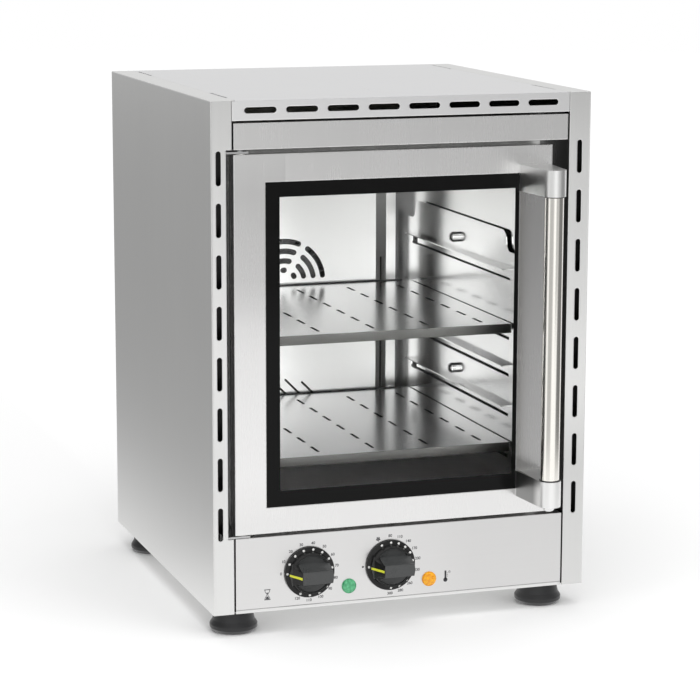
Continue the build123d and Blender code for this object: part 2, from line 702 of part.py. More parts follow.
def rack(side):
    """A side rack: a stamped plate with two shoulders, and bent-out tongues that carry the shelves."""
    face = chamber_x + side * rack_face
    foot_z = chamber_z0 + RACK_FOOT
    shoulder = chamber_z0 + RACK_SHOULDER
    top = chamber_z0 + RACK_TOP
    bend = (top - shoulder) / 2
    a = RACK_FRONT + SHOULDER_L
    b = rack_rear - SHOULDER_L
    outline = Polyline((a, shoulder), (RACK_FRONT, shoulder), (RACK_FRONT, foot_z), (rack_rear, foot_z),
                       (rack_rear, shoulder), (b, shoulder))
    outline += CenterArc((b, shoulder + bend), bend, 270, -90)
    outline += CenterArc((b - 2 * bend, shoulder + bend), bend, 0, 90)
    outline += Line((b - 2 * bend, top), (a + 2 * bend, top))
    outline += CenterArc((a + 2 * bend, shoulder + bend), bend, 90, 90)
    outline += CenterArc((a, shoulder + bend), bend, 0, -90)
    low, high = span(face, face + side * RACK_T)
    plate = Pos(low, 0, 0) * extrude(Plane.YZ * make_face(outline), amount=RACK_T)
    y0 = RACK_FRONT + TONGUE_FROM_FRONT
    y1 = rack_rear - TONGUE_FROM_REAR
    for level in TONGUE_LEVELS:
        z = chamber_z0 + level
        plate -= block(low - SHEET, high + SHEET, y0, y1, z - TONGUE_SLOT_H, z - RACK_T)
        plate += block(*span(face - side * TONGUE_W, face + side * RACK_T), y0, y1, z - RACK_T, z)
    for level in NUT_LEVELS:
        plate -= rod_x(NUT_Y, chamber_z0 + level, low - SHEET, high + SHEET, SCREW_R + FIT)
    return plate


def rack_nut(side, level):
    """A domed nut on its stud, with a spacer behind the rack and a washer outside the chamber's wall."""
    z = chamber_z0 + level
    face = rack_face
    wall = chamber_half
    collar = NUT_R - SHEET
    points = [(face - NUT_HEX_T, collar), (face - NUT_HEX_T, NUT_R), (face, NUT_R), (face, SCREW_R),
              (face + RACK_T, SCREW_R),
              (face + RACK_T, collar), (wall, collar), (wall, SCREW_R), (wall + SHEET, SCREW_R),
              (wall + SHEET, collar), (wall + 2 * SHEET, collar), (wall + 2 * SHEET, 0)]
    outline = Polyline(*points) + Line((wall + 2 * SHEET, 0), (face - NUT_HEX_T - collar, 0))
    outline += CenterArc((face - NUT_HEX_T, 0), collar, 90, 90)
    nut = revolve(make_face(outline), Axis.X)
    if side < 0:
        nut = mirror(nut, Plane.YZ)
    return Pos(chamber_x, NUT_Y, z) * nut


def shelf(tongues_under):
    """A perforated shelf: a plate with front and back lips, and side flanges that sit on the tongues."""
    x0 = chamber_x - shelf_half
    x1 = chamber_x + shelf_half
    top = chamber_z0 + TONGUE_LEVELS[tongues_under] + SHELF_FLANGE + SHELF_SEAT
    y0 = SHELF_FRONT
    y1 = shelf_rear
    plate = block(x0, x1, y0, y1, top - SHELF_T, top)
    plate += block(x0, x0 + SHELF_T, y0, y1, top - SHELF_FLANGE, top)
    plate += block(x1 - SHELF_T, x1, y0, y1, top - SHELF_FLANGE, top)
    plate += block(x0, x1, y0, y0 + SHELF_T, top - SHELF_LIP, top)
    # The rear lip passes between the tongues of the two racks
    plate += block(x0 + TONGUE_W, x1 - TONGUE_W, y1 - SHELF_T, y1, top - SHELF_LIP, top)
    holes = Sketch()
    for x in spaced(x0 + SHELF_ROW_MARGIN - SHELF_SLOT_W / 2, x1 - SHELF_ROW_MARGIN + SHELF_SLOT_W / 2,
                    SHELF_ROWS, SHELF_SLOT_W):
        for y in spaced(y0 + SHELF_SLOT_FRONT, y1 - SHELF_SLOT_REAR, SHELF_SLOTS, SHELF_SLOT_L):
            holes += slot(x, y, SHELF_SLOT_L, SHELF_SLOT_W, 90)
    return plate - Pos(0, 0, top) * extrude(holes, amount=2 * SHELF_T, both=True)


def vent_slots():
    """Slanted slots under the fan: each starts on one level line and ends at a large circle."""
    circle_z = chamber_z0 + VENT_ABOVE_FLOOR
    foot_z = chamber_z0 + VENT_SLOT_FOOT
    dz = foot_z - circle_z
    slots = Sketch()
    for i in range(VENT_SLOTS):
        dx = (i - VENT_SLOTS_LEFT) * VENT_PITCH
        half_b = (dz - dx) / math.sqrt(2)
        length = math.sqrt(half_b ** 2 - dx ** 2 - dz ** 2 + VENT_R ** 2) - half_b
        rise = length / 2 / math.sqrt(2)
        slots += slot(fan_x + dx - rise, foot_z + rise, length, VENT_SLOT_W, -45)
    return slots


def grille_slots():
    """Rings of round-ended arc slots round the fan's axis, parted by straight bars."""
    slots = Sketch()
    for radius in GRILLE_RADII:
        part = 360 / GRILLE_SPOKES
        keep = math.degrees(math.asin((GRILLE_BAR + GRILLE_SLOT_W) / 2 / radius))
        for i in range(GRILLE_SPOKES):
            arc = CenterArc((0, 0), radius, i * part + keep, part - 2 * keep)
            slots += Pos(fan_x, fan_z) * SlotArc(arc, GRILLE_SLOT_W)
    return slots


def air_baffle():
    """The fan guard: a plate with slanted wings and screwed feet, a ring grille and return air slots."""
    y1 = chamber_back_y
    run = BAFFLE_D - SHEET
    a = baffle_half
    b = a + BAFFLE_WING
    c = b + BAFFLE_FOOT
    slope = math.hypot(run, BAFFLE_WING)
    lean = SHEET * (slope - BAFFLE_WING) / run
    outer = [(-c, y1), (-c, y1 - SHEET), (-b, y1 - SHEET), (-a, baffle_y), (a, baffle_y), (b, y1 - SHEET),
             (c, y1 - SHEET), (c, y1)]
    inner = [(b - lean, y1), (a - lean, baffle_y + SHEET), (lean - a, baffle_y + SHEET), (lean - b, y1)]
    z0 = chamber_z0 + BAFFLE_END_CLEAR
    z1 = chamber_z1 - BAFFLE_END_CLEAR
    plate = extrude(Pos(fan_x, 0, z0) * make_face(Polyline(*outer, *inner, close=True)), amount=z1 - z0)
    plate -= cut_y(vent_slots(), baffle_y, 2 * SHEET)
    plate -= cut_y(grille_slots(), baffle_y, 2 * SHEET)
    for side in (-1, 1):
        middle = Pos(fan_x + side * (a + BAFFLE_WING / 2), (baffle_y + y1) / 2, 0)
        turn = Rot(0, 0, side * math.degrees(math.atan2(run, BAFFLE_WING)))
        cutter = block(-WING_SLOT_W / 2, WING_SLOT_W / 2, -3 * SHEET, 3 * SHEET,
                       chamber_z0 + WING_SLOT_FOOT, chamber_z0 + WING_SLOT_TOP)
        plate -= middle * turn * cutter
    for hole in holes_y(baffle_screws, y1):
        plate -= hole
    return plate


def ring_element():
    """The heater: a tube bent in an open ring round the fan, with two legs out through the back."""
    start = math.degrees(math.asin(ELEMENT_LEG / ELEMENT_R))
    ring = Plane.XZ * CenterArc((0, 0), ELEMENT_R, 90 + start, 360 - 2 * start)
    path = Pos(fan_x, element_y, fan_z) * ring
    tube = sweep(Plane(origin=path @ 0, z_dir=path % 0) * Circle(ELEMENT_TUBE_R), path=path)
    for end in (path @ 0, path @ 1):
        tube += rod_y(end.X, end.Z, element_y, rear_in - BATT_GAP, ELEMENT_TUBE_R)
        tube += Pos(end.X, element_y, end.Z) * Sphere(ELEMENT_TUBE_R)
    return tube


def motor_shaft():
    """The fan's shaft, from the nut inside the chamber to the motor's rear bearing."""
    return rod_y(fan_x, fan_z, impeller_y0 + HUB_SET_BACK - FAN_NUT_T, motor_rear, MOTOR_SHAFT_R)


def fan_impeller():
    """The impeller: a back disc, a hub on the shaft, and blades that stand off the disc near its rim."""
    y0 = impeller_y0
    y1 = impeller_y1
    wheel = rod_y(fan_x, fan_z, y1 - BLADE_T, y1, IMPELLER_R)
    wheel += rod_y(fan_x, fan_z, y0 + HUB_SET_BACK, y1, HUB_R)
    blade = block(-BLADE_T / 2, BLADE_T / 2, y0, y1, IMPELLER_R - BLADE_L, IMPELLER_R - BLADE_T)
    for i in range(IMPELLER_BLADES):
        wheel += Pos(fan_x, 0, fan_z) * Rot(0, 360 / IMPELLER_BLADES * i, 0) * blade
    return wheel - rod_y(fan_x, fan_z, y0, y1 + SHEET, MOTOR_SHAFT_R + FIT)


def fan_nut():
    """The nut on the shaft's front end."""
    y1 = impeller_y0 + HUB_SET_BACK
    nut = Pos(fan_x, y1, fan_z) * Rot(90, 0, 0) * extrude(RegularPolygon(FAN_NUT_R, 6), amount=FAN_NUT_T)
    return nut - rod_y(fan_x, fan_z, y1 - 2 * FAN_NUT_T, y1 + SHEET, MOTOR_SHAFT_R + FIT)


def motor_bracket():
    """The plate that carries the motor, on four posts off the chamber's back, with the shaft's collar."""
    half = BRACKET_PLATE / 2
    plate = block(fan_x - half, fan_x + half, motor_y - BRACKET_T, motor_y,
                  fan_z - half, fan_z + half)
    for x in (fan_x - POST_SPAN / 2, fan_x + POST_SPAN / 2):
        for z in (fan_z - POST_SPAN / 2, fan_z + POST_SPAN / 2):
            plate += rod_y(x, z, chamber_back_y + SHEET, motor_y, POST_R)
    plate += rod_y(fan_x, fan_z, chamber_back_y, motor_y, COLLAR_R)
    return plate - rod_y(fan_x, fan_z, baffle_y, motor_y + SHEET, MOTOR_SHAFT_R + SHAFT_FIT)


def fan_motor():
    """The shaded-pole motor: its core, two end bells with bearings, and the coil under it."""
    half = MOTOR_CORE / 2
    y0 = motor_y + MOTOR_BELL_D
    y1 = y0 + MOTOR_CORE_D
    motor = block(fan_x - half, fan_x + half, y0, y1, fan_z - half, fan_z + half)
    motor += rod_y(fan_x, fan_z, motor_y, motor_rear, MOTOR_BELL_R)
    motor += block(fan_x - COIL_W / 2, fan_x + COIL_W / 2, y0 - COIL_OVER, y1 + COIL_OVER,
                   fan_z - half - COIL_H, fan_z - half)
    return motor - rod_y(fan_x, fan_z, motor_y - SHEET, motor_rear + SHEET, MOTOR_SHAFT_R + SHAFT_FIT)


def control_body(x, depth):
    """A timer's or thermostat's body behind the panel, with the boss that passes through it."""
    body = block(x - CONTROL_W / 2, x + CONTROL_W / 2, SHEET, SHEET + depth,
                 knob_z - CONTROL_H / 2, knob_z + CONTROL_H / 2)
    body += rod_y(x, knob_z, 0, SHEET, BOSS_R)
    return body - rod_y(x, knob_z, -SHEET, SHAFT_IN + SHEET, SHAFT_R + RUNNING)


def shaft_flat_cut(x, depth):
    """What is cut away above a shaft's flat, from its end to the knob's skirt."""
    return block(x - 2 * SHAFT_R, x + 2 * SHAFT_R, -SHAFT_OUT - SHEET, -KNOB_GAP - SKIRT_T,
                 knob_z + SHAFT_R - SHAFT_FLAT + depth, knob_z + 2 * SHAFT_R)


def control_shaft(x):
    """The shaft that the knob turns: round in the body, with a flat where the knob grips it."""
    return rod_y(x, knob_z, -SHAFT_OUT, SHAFT_IN, SHAFT_R) - shaft_flat_cut(x, 0)


def knob(x):
    """A knob at off: skirt, round crown with two finger pockets, and a grip bar with a slanted nose."""
    back = -KNOB_GAP
    crown_y = back - CROWN_H
    front = back - GRIP_H
    floor_y = crown_y + POCKET_D
    facing = Pos(x, back, knob_z) * Rot(90, 0, 0)
    skirt = facing * Cylinder(SKIRT_R, SKIRT_T, align=(Align.CENTER, Align.CENTER, Align.MIN))
    crown = facing * extrude(Circle(CROWN_R), amount=CROWN_H, taper=CROWN_DRAFT)
    drop = CROWN_H * math.tan(math.radians(CROWN_DRAFT))
    pocket = rod_y(x, knob_z, floor_y, crown_y - SHEET, CROWN_R - drop - POCKET_RIM)
    root = GRIP_ROOT_W / 2
    flank = GRIP_W / 2
    mid_y = (floor_y + front) / 2 + (floor_y - front) * GRIP_SCOOP
    mid_z = (root + flank) / 2 - (root - flank) * GRIP_SCOOP
    side = Polyline((front, -flank), (front, flank))
    side += ThreePointArc((front, flank), (mid_y, mid_z), (floor_y, root))
    side += Polyline((floor_y, root), (back - SKIRT_T, root), (back - SKIRT_T, -root), (floor_y, -root))
    side += ThreePointArc((floor_y, -root), (mid_y, -mid_z), (front, -flank))
    bar = Pos(x, 0, knob_z) * extrude(Plane.YZ * make_face(side), amount=SKIRT_R, both=True)
    base = back - SKIRT_T
    end = CROWN_R - drop / 2
    plan = Polyline((-GRIP_TIP, base), (-GRIP_TIP, crown_y), (-GRIP_NOSE, front), (GRIP_TAIL, front),
                    (end, crown_y), (end, base), close=True)
    bar &= Pos(x, 0, knob_z) * extrude(make_face(plan), amount=SKIRT_R, both=True)
    bar &= rod_y(x, knob_z, back, front - SHEET, GRIP_TIP)
    bar = fillet(bar.faces().sort_by(Axis.Y)[0].edges(), GRIP_ROUND)
    hole = rod_y(x, knob_z, back + SHEET, -SHAFT_OUT - FIT, SHAFT_R + FIT) - shaft_flat_cut(x, FIT)
    return skirt + (crown - pocket) + bar - hole


def lamp(x):
    """A pilot lamp: a lens that stands off the panel, with its body behind it."""
    lens = rod_y(x, lamp_z, -LAMP_PROUD, 0, LAMP_R)
    lens = fillet(lens.faces().sort_by(Axis.Y)[0].edges(), LAMP_ROUND)
    return lens + rod_y(x, lamp_z, 0, LAMP_D, LAMP_R - LAMP_SHOULDER - FIT)


def cutout_body(grow):
    """The over-temperature cut-out's body on the outside of the chamber's back, grown on its free sides."""
    y0 = chamber_back_y + SHEET
    x1 = chamber_x1 - CUTOUT_INSET
    z0 = chamber_z0 + CUTOUT_INSET
    return block(x1 - CUTOUT_W - grow, x1 + grow, y0, y0 + CUTOUT_D + grow, z0 - grow, z0 + CUTOUT_H + grow)


def terminal_block():
    """The terminal block on the floor of the case, near the gland."""
    z0 = floor_z + 2 * SHEET
    y1 = rear_in - TERMINAL_FROM_REAR
    half = TERMINAL_W / 2
    body = block(gland_x - half, gland_x + half, y1 - TERMINAL_D, y1, z0, z0 + TERMINAL_H)
    for x in (gland_x - TERMINAL_PITCH, gland_x, gland_x + TERMINAL_PITCH):
        body -= rod_z(x, y1 - TERMINAL_D / 2, z0 + TERMINAL_H / 2, z0 + 2 * TERMINAL_H, TERMINAL_HOLE_R)
    return body


def cable_gland():
    """The gland in the rear panel that the supply lead comes in through."""
    body = rod_y(gland_x, gland_z, rear_in - GLAND_NUT_T, CASE_D + GLAND_OUT, GLAND_R)
    body += rod_y(gland_x, gland_z, CASE_D, CASE_D + GLAND_OUT / 2, GLAND_R + GLAND_COLLAR)
    nut = extrude(RegularPolygon(GLAND_R + GLAND_COLLAR, 6), amount=GLAND_NUT_T)
    body += Pos(gland_x, rear_in, gland_z) * Rot(90, 0, 0) * nut
    return body - rod_y(gland_x, gland_z, rear_in - 2 * GLAND_NUT_T, CASE_D + 2 * GLAND_OUT, GLAND_BORE_R)


def hinge_plate(up):
    """A hinge's corner plate: a leaf over or under the door's corner, and one bent along the front frame."""
    face = door_z1 + plate_stand if up > 0 else door_z0 - plate_stand
    flat = span(face, face + up * HINGE_T)
    plate = block(leaf_x0, leaf_x1, SHEET, RECESS_D, *flat)
    plate += block(leaf_x0, leaf_x1, RECESS_D - HINGE_T, RECESS_D, *span(face, face + up * HINGE_LEAF_H))
    return plate - rod_z(pin_x, PIN_Y, flat[0] - SHEET, flat[1] + SHEET, PIN_R)


def hinge_pin(up):
    """A pin riveted in its plate, reaching into the door. The upper one has a head."""
    edge = door_z1 if up > 0 else door_z0
    out = edge + up * (plate_stand + HINGE_T)
    pin = rod_z(pin_x, PIN_Y, *span(edge - up * PIN_L, out), PIN_R)
    if up > 0:
        pin += rod_z(pin_x, PIN_Y, out, out + PIN_HEAD_T, PIN_HEAD_R)
    return pin


def hinge_bush(up):
    """A flanged bush in the door's edge, which the pin turns in."""
    edge = door_z1 if up > 0 else door_z0
    bush = rod_z(pin_x, PIN_Y, *span(edge - up * BUSH_L, edge), bush_r)
    bush += rod_z(pin_x, PIN_Y, *span(edge, edge + up * BUSH_FLANGE_T), bush_r + BUSH_FLANGE_W)
    return bush - rod_z(pin_x, PIN_Y, edge - 2 * PIN_L, edge + 2 * PIN_L, PIN_R + RUNNING)


def bush_room(radius):
    """The room that the bushes and pins need along the door's hinge edge."""
    lower = rod_z(pin_x, PIN_Y, door_z0 - SHEET, door_z0 + PIN_L + SHEET, radius)
    return lower + rod_z(pin_x, PIN_Y, door_z1 - PIN_L - SHEET, door_z1 + SHEET, radius)


def door_outer_skin():
    """The door's front: a shallow pan with the window opening and the handle's screw holes."""
    skin = block(door_x0, door_x1, 0, SKIN_FOLD, door_z0, door_z1)
    skin -= block(door_x0 + SHEET, door_x1 - SHEET, SHEET, SKIN_FOLD + SHEET,
                  door_z0 + SHEET, door_z1 - SHEET)
    skin = fillet(skin.faces().sort_by(Axis.Y)[0].edges(), SKIN_ROUND)
    skin -= block(window_x0, window_x1, -SHEET, 2 * SHEET, window_z0, window_z1)
    for z in bracket_zs:
        skin -= rod_y(handle_x, z + BRACKET_H / 2, -SHEET, 2 * SHEET, HANDLE_SCREW_R + FIT)
    return skin - bush_room(bush_r)


def door_inner_pan():
    """The door's back: a deep pan that closes it, with the opening for the inner glass."""
    pan = block(pan_x0, pan_x1, SHEET, DOOR_T, pan_z0, pan_z1)
    pan -= block(pan_x0 + SHEET, pan_x1 - SHEET, 0, DOOR_T - SHEET, pan_z0 + SHEET, pan_z1 - SHEET)
    pan -= block(pan_window_x0, pan_window_x1, DOOR_T - 2 * SHEET, DOOR_T + SHEET,
                 pan_window_z0, pan_window_z1)
    for x in (pan_x0, pan_x1):
        for z in bracket_zs:
            pan -= rod_x(door_screw_y, z + BRACKET_H / 2, x - 2 * SHEET, x + 2 * SHEET, SCREW_R + FIT)
    return pan - bush_room(bush_r + FIT)


def outer_glass():
    """The front glass, behind the skin's opening."""
    lap = OUTER_GLASS_LAP
    return block(window_x0 - lap, window_x1 + lap, SHEET, outer_glass_y1, window_z0 - lap, window_z1 + lap)


def inner_glass():
    """The rear glass, in front of the inner pan's opening."""
    lap = INNER_GLASS_LAP
    return block(pan_window_x0 - lap, pan_window_x1 + lap, inner_glass_y0, DOOR_T - SHEET,
                 pan_window_z0 - lap, pan_window_z1 + lap)


def glass_rail(z, up):
    """A channel that holds the two glasses apart, behind the printed border, open away from the border."""
    x0 = window_x0 + RAIL_MARGIN
    x1 = window_x1 - RAIL_MARGIN
    rail = block(x0, x1, outer_glass_y1, inner_glass_y0, *span(z, z + up * RAIL_H))
    return rail - block(x0 - SHEET, x1 + SHEET, outer_glass_y1 + SHEET, inner_glass_y0 - SHEET,
                        *span(z - up * SHEET, z + up * (RAIL_H - SHEET)))


def handle_bracket(z):
    """A handle bracket: in plan it tapers from the door to a round nose that carries the tube."""
    half = BRACKET_BASE_W / 2
    turn = math.atan2(HANDLE_REACH, half) - math.acos(BRACKET_NOSE_R / math.hypot(half, HANDLE_REACH))
    touch_x = BRACKET_NOSE_R * math.cos(turn)
    touch_y = BRACKET_NOSE_R * math.sin(turn) - HANDLE_REACH
    taper = make_face(Polyline((-half, 0), (half, 0), (touch_x, touch_y), (-touch_x, touch_y), close=True))
    plan = taper + Pos(0, -HANDLE_REACH) * Circle(BRACKET_NOSE_R)
    bracket = Pos(handle_x, 0, z) * extrude(plan, amount=BRACKET_H)
    return bracket - rod_y(handle_x, z + BRACKET_H / 2, -HANDLE_SCREW_L, SHEET, HANDLE_SCREW_R + FIT)


def handle_tube():
    """The handle's tube, between the two brackets."""
    z0 = bracket_zs[0] + BRACKET_H
    z1 = bracket_zs[1]
    tube = rod_z(handle_x, -HANDLE_REACH, z0, z1, TUBE_R)
    return tube - rod_z(handle_x, -HANDLE_REACH, z0 - SHEET, z1 + SHEET, TUBE_R - TUBE_WALL)


def door_screws():
    """The handle's two screws, from inside the skin, and four on the door's side edges."""
    screws = []
    for z in (bracket_zs[0] + BRACKET_H / 2, bracket_zs[1] + BRACKET_H / 2):
        shank = rod_y(handle_x, z, SHEET - HANDLE_SCREW_L, SHEET, HANDLE_SCREW_R)
        screws.append(shank + rod_y(handle_x, z, SHEET, SHEET + SCREW_HEAD_T, SCREW_HEAD_R))
        for x, out in ((pan_x0, -1), (pan_x1, 1)):
            head = rod_x(door_screw_y, z, x, x + out * DOOR_SCREW_HEAD_T, SCREW_HEAD_R)
            screws.append(head + rod_x(door_screw_y, z, x, x - out * SCREW_L, SCREW_R))
    return group(screws)


def case_screws():
    """Screws of the rear panel, the motor cover, the baffle and the feet."""
    screws = [screw_y(x, z, CASE_D, 1, SCREW_L) for x, z in rear_screws]
    screws += [screw_y(x, z, CASE_D + SHEET, 1, COVER_SCREW_L) for x, z in cover_screws]
    screws += [screw_y(x, z, chamber_back_y - SHEET, -1, SCREW_L) for x, z in baffle_screws]
    screws += [foot_screw(x, y) for x, y in feet]
    return group(screws)


def write_case():
    place("left_side_panel", side_panel(-1))
    place("right_side_panel", side_panel(1))
    place("top_panel", top_panel())
    place("base_panel", base_panel())
    place("rear_panel", rear_panel())
    place("motor_cover", motor_cover())
    place("fascia", fascia())
    place("control_panel", control_panel())
    place("front_frame", front_frame())
    place("door_seal", door_seal())
    place("magnet_catch", magnet_catch())
    place("case_screws", case_screws())
    for name, spot in zip(("front_left", "front_right", "rear_left", "rear_right"), feet):
        place("foot_" + name, foot(*spot))


def write_chamber():
    place("chamber_floor", chamber_plate(chamber_z0 - SHEET))
    place("chamber_roof", chamber_plate(chamber_z1))
    place("chamber_left_wall", chamber_wall(-1))
    place("chamber_right_wall", chamber_wall(1))
    place("chamber_back", chamber_back())
    place("insulation_wrap", insulation_wrap())
    place("insulation_bottom", insulation_bottom())
    place("insulation_rear", insulation_rear())
    place("rack_left", rack(-1))
    place("rack_right", rack(1))
    place("rack_nuts", group(rack_nut(side, level) for side in (-1, 1) for level in NUT_LEVELS))
    place("upper_shelf", shelf(UPPER_SHELF_TONGUE_COUNT))
    place("lower_shelf", shelf(LOWER_SHELF_TONGUE_COUNT))
    place("air_baffle", air_baffle())


def write_fan_and_electrics():
    place("ring_element", ring_element())
    place("fan_impeller", fan_impeller())
    place("fan_nut", fan_nut())
    place("motor_shaft", motor_shaft())
    place("motor_bracket", motor_bracket())
    place("fan_motor", fan_motor())
    place("timer_body", control_body(timer_x, TIMER_D))
    place("thermostat_body", control_body(thermostat_x, THERMOSTAT_D))
    place("timer_shaft", control_shaft(timer_x))
    place("thermostat_shaft", control_shaft(thermostat_x))
    place("timer_knob", knob(timer_x))
    place("thermostat_knob", knob(thermostat_x))
    place("green_lamp", lamp(timer_x + LAMP_SHIFT))
    place("orange_lamp", lamp(thermostat_x + LAMP_SHIFT))
    place("safety_thermostat", cutout_body(0))
    place("terminal_block", terminal_block())
    place("cable_gland", cable_gland())


def write_door():
    place("hinge_plate_top", hinge_plate(1))
    place("hinge_plate_bottom", hinge_plate(-1))
    place("hinge_pins", group([hinge_pin(1), hinge_pin(-1)]))
    place("hinge_bushes", group([hinge_bush(1), hinge_bush(-1)]))
    place("door_outer_skin", door_outer_skin())
    place("door_inner_pan", door_inner_pan())
    place("outer_glass", outer_glass())
    place("inner_glass", inner_glass())
    rails = [glass_rail(window_z0 + RAIL_INSET, 1), glass_rail(window_z1 - RAIL_INSET, -1)]
    place("glass_rails", group(rails))
    place("handle_tube", handle_tube())
    place("handle_bracket_top", handle_bracket(bracket_zs[1]))
    place("handle_bracket_bottom", handle_bracket(bracket_zs[0]))
    place("door_screws", door_screws())


write_case()
write_chamber()
write_fan_and_electrics()
write_door()
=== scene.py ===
import math

import bmesh
import bpy
import numpy as np
from mathutils import Matrix, Vector


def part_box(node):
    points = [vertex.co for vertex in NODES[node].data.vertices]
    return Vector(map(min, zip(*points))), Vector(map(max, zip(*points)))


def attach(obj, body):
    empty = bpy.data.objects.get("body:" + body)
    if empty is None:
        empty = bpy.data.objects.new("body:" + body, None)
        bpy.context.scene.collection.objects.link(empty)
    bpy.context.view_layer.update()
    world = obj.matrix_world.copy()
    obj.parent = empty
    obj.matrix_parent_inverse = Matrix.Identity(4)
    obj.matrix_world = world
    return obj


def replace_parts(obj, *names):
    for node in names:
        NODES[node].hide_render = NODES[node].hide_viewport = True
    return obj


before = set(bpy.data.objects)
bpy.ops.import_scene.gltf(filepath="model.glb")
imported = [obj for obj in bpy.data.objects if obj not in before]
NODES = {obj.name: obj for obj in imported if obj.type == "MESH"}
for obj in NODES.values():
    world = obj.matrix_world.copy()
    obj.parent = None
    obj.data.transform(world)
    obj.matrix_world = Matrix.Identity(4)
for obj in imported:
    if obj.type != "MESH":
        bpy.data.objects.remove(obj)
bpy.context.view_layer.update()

# A millimetre, and the place of the panel's face, in metres
MM = 0.001
PANEL_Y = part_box("control_panel")[0].y

# Points closer than this are one, and an edge shorter than this is none, in metres
SAME_POINT = 2e-6
NO_EDGE = 1e-7


def centre(node):
    """The middle of a node's box."""
    low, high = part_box(node)
    return (low + high) / 2


# Meshes

def grid_quads(rows, cols, closed):
    """Faces of a grid of rows by cols points. A closed grid joins its last column to its first."""
    r = np.arange(rows - 1)[:, None]
    c = np.arange(cols if closed else cols - 1)[None, :]
    n = (c + 1) % cols
    corners = np.broadcast_arrays(r * cols + c, r * cols + n, (r + 1) * cols + n, (r + 1) * cols + c)
    return np.stack(corners, -1).reshape(-1, 4)


def piece(name, parts, body, material, sharp=35.0):
    """Joins parts, each (points, quads), in one mesh, merges its seams and poles, and turns its faces out."""
    points = np.concatenate([p for p, _ in parts])
    starts = np.cumsum([0] + [len(p) for p, _ in parts[:-1]])
    quads = np.concatenate([q + s for (_, q), s in zip(parts, starts)])
    mesh = bpy.data.meshes.new(name)
    mesh.from_pydata(points.tolist(), [], quads.tolist())
    shell = bmesh.new()
    shell.from_mesh(mesh)
    bmesh.ops.remove_doubles(shell, verts=shell.verts, dist=SAME_POINT)
    bmesh.ops.dissolve_degenerate(shell, edges=shell.edges, dist=NO_EDGE)
    bmesh.ops.recalc_face_normals(shell, faces=shell.faces)
    shell.to_mesh(mesh)
    shell.free()
    mesh.shade_smooth()
    mesh.set_sharp_from_angle(angle=math.radians(sharp))
    made = bpy.data.objects.new(name, mesh)
    bpy.context.scene.collection.objects.link(made)
    mesh.materials.append(material)
    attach(made, body)
    return made


def rounded(points, radius, steps=5, share=0.45):
    """An open outline with each inner corner replaced by a curve of the second degree between two points
    that lie radius, or at most a share of the side, before and after it."""
    points = np.array(points, float)
    radius = np.broadcast_to(np.asarray(radius, float), len(points) - 2)
    t = np.linspace(0, 1, steps + 1)[:, None]
    out = [points[:1]]
    for i in range(1, len(points) - 1):
        a, p, b = points[i - 1:i + 2]
        la, lb = np.linalg.norm(a - p), np.linalg.norm(b - p)
        first = p + (a - p) * min(radius[i - 1] / la, share)
        last = p + (b - p) * min(radius[i - 1] / lb, share)
        out.append((1 - t) ** 2 * first + 2 * t * (1 - t) * p + t ** 2 * last)
    out.append(points[-1:])
    return np.concatenate(out)


def turned(profile, at, axis, segments=64, wave=None):
    """A profile of (radius, height) carried round an axis through at: at + radius (cos a, sin a) + height
    axis. wave(a, height), if given, multiplies the radius."""
    axis = np.array(axis, float)
    side = np.cross(axis, [0, 0, 1] if abs(axis[2]) < 0.9 else [1, 0, 0])
    side /= np.linalg.norm(side)
    third = np.cross(axis, side)
    profile = np.array(profile, float)
    a = np.linspace(0, 2 * np.pi, segments, endpoint=False)[None, :, None]
    r = profile[:, 0][:, None, None]
    h = profile[:, 1][:, None, None]
    if wave is not None:
        r = r * wave(a, h)
    points = np.array(at, float) + r * (np.cos(a) * side + np.sin(a) * third) + h * axis
    return points.reshape(-1, 3), grid_quads(len(profile), segments, True)


def round_rectangle(u0, u1, v0, v1, radius, count=7):
    """A rounded rectangle in two coordinates, walked corner by corner: corner + radius (cos a, sin a)."""
    corners = ((u1 - radius, v1 - radius), (u0 + radius, v1 - radius), (u0 + radius, v0 + radius),
               (u1 - radius, v0 + radius))
    quarter = np.linspace(0, np.pi / 2, count)
    return np.concatenate([np.stack([u + radius * np.cos(quarter + k * np.pi / 2),
                                     v + radius * np.sin(quarter + k * np.pi / 2)], -1)
                           for k, (u, v) in enumerate(corners)])


def facing(outline, y):
    """An outline in x and z, stood up in space at one y."""
    return np.stack([outline[:, 0], np.full(len(outline), y), outline[:, 1]], -1)


def flat_ring(outer, inner, y0, y1, soft=0.0003):
    """A frame across Y: a rounded rectangle outer less inner, each x0, x1, z0, z1, from y0 to y1. Its four
    loops are joined in turn, and the first closes it again."""
    rim, hole = round_rectangle(*outer, soft), round_rectangle(*inner, soft)
    loops = [facing(rim, y1), facing(rim, y0), facing(hole, y0), facing(hole, y1), facing(rim, y1)]
    return np.concatenate(loops), grid_quads(len(loops), len(rim), True)


def plate(points, y0, y1):
    """A flat outline in x and z, filled as a fan about its middle, from y0 to y1."""
    ring = np.array(points, float)
    middle = np.repeat(ring.mean(0)[None, :], len(ring), 0)
    loops = [facing(middle, y0), facing(ring, y0), facing(ring, y1), facing(middle, y1)]
    return np.concatenate(loops), grid_quads(len(loops), len(ring), True)


def band(path, width, y0, y1):
    """A flat stroke of constant width along a path in x and z, from y0 to y1: the path moved half the width
    to each side along its normals."""
    path = np.array(path, float)
    way = np.gradient(path, axis=0)
    way /= np.linalg.norm(way, axis=1)[:, None]
    normal = np.stack([-way[:, 1], way[:, 0]], -1) * width / 2
    left, right = path + normal, path - normal
    points = np.stack([facing(left, y0), facing(right, y0), facing(right, y1), facing(left, y1)], 1)
    start = np.repeat(points[:1].mean(1, keepdims=True), 4, 1)
    end = np.repeat(points[-1:].mean(1, keepdims=True), 4, 1)
    points = np.concatenate([start, points, end])
    return points.reshape(-1, 3), grid_quads(len(points), 4, True)


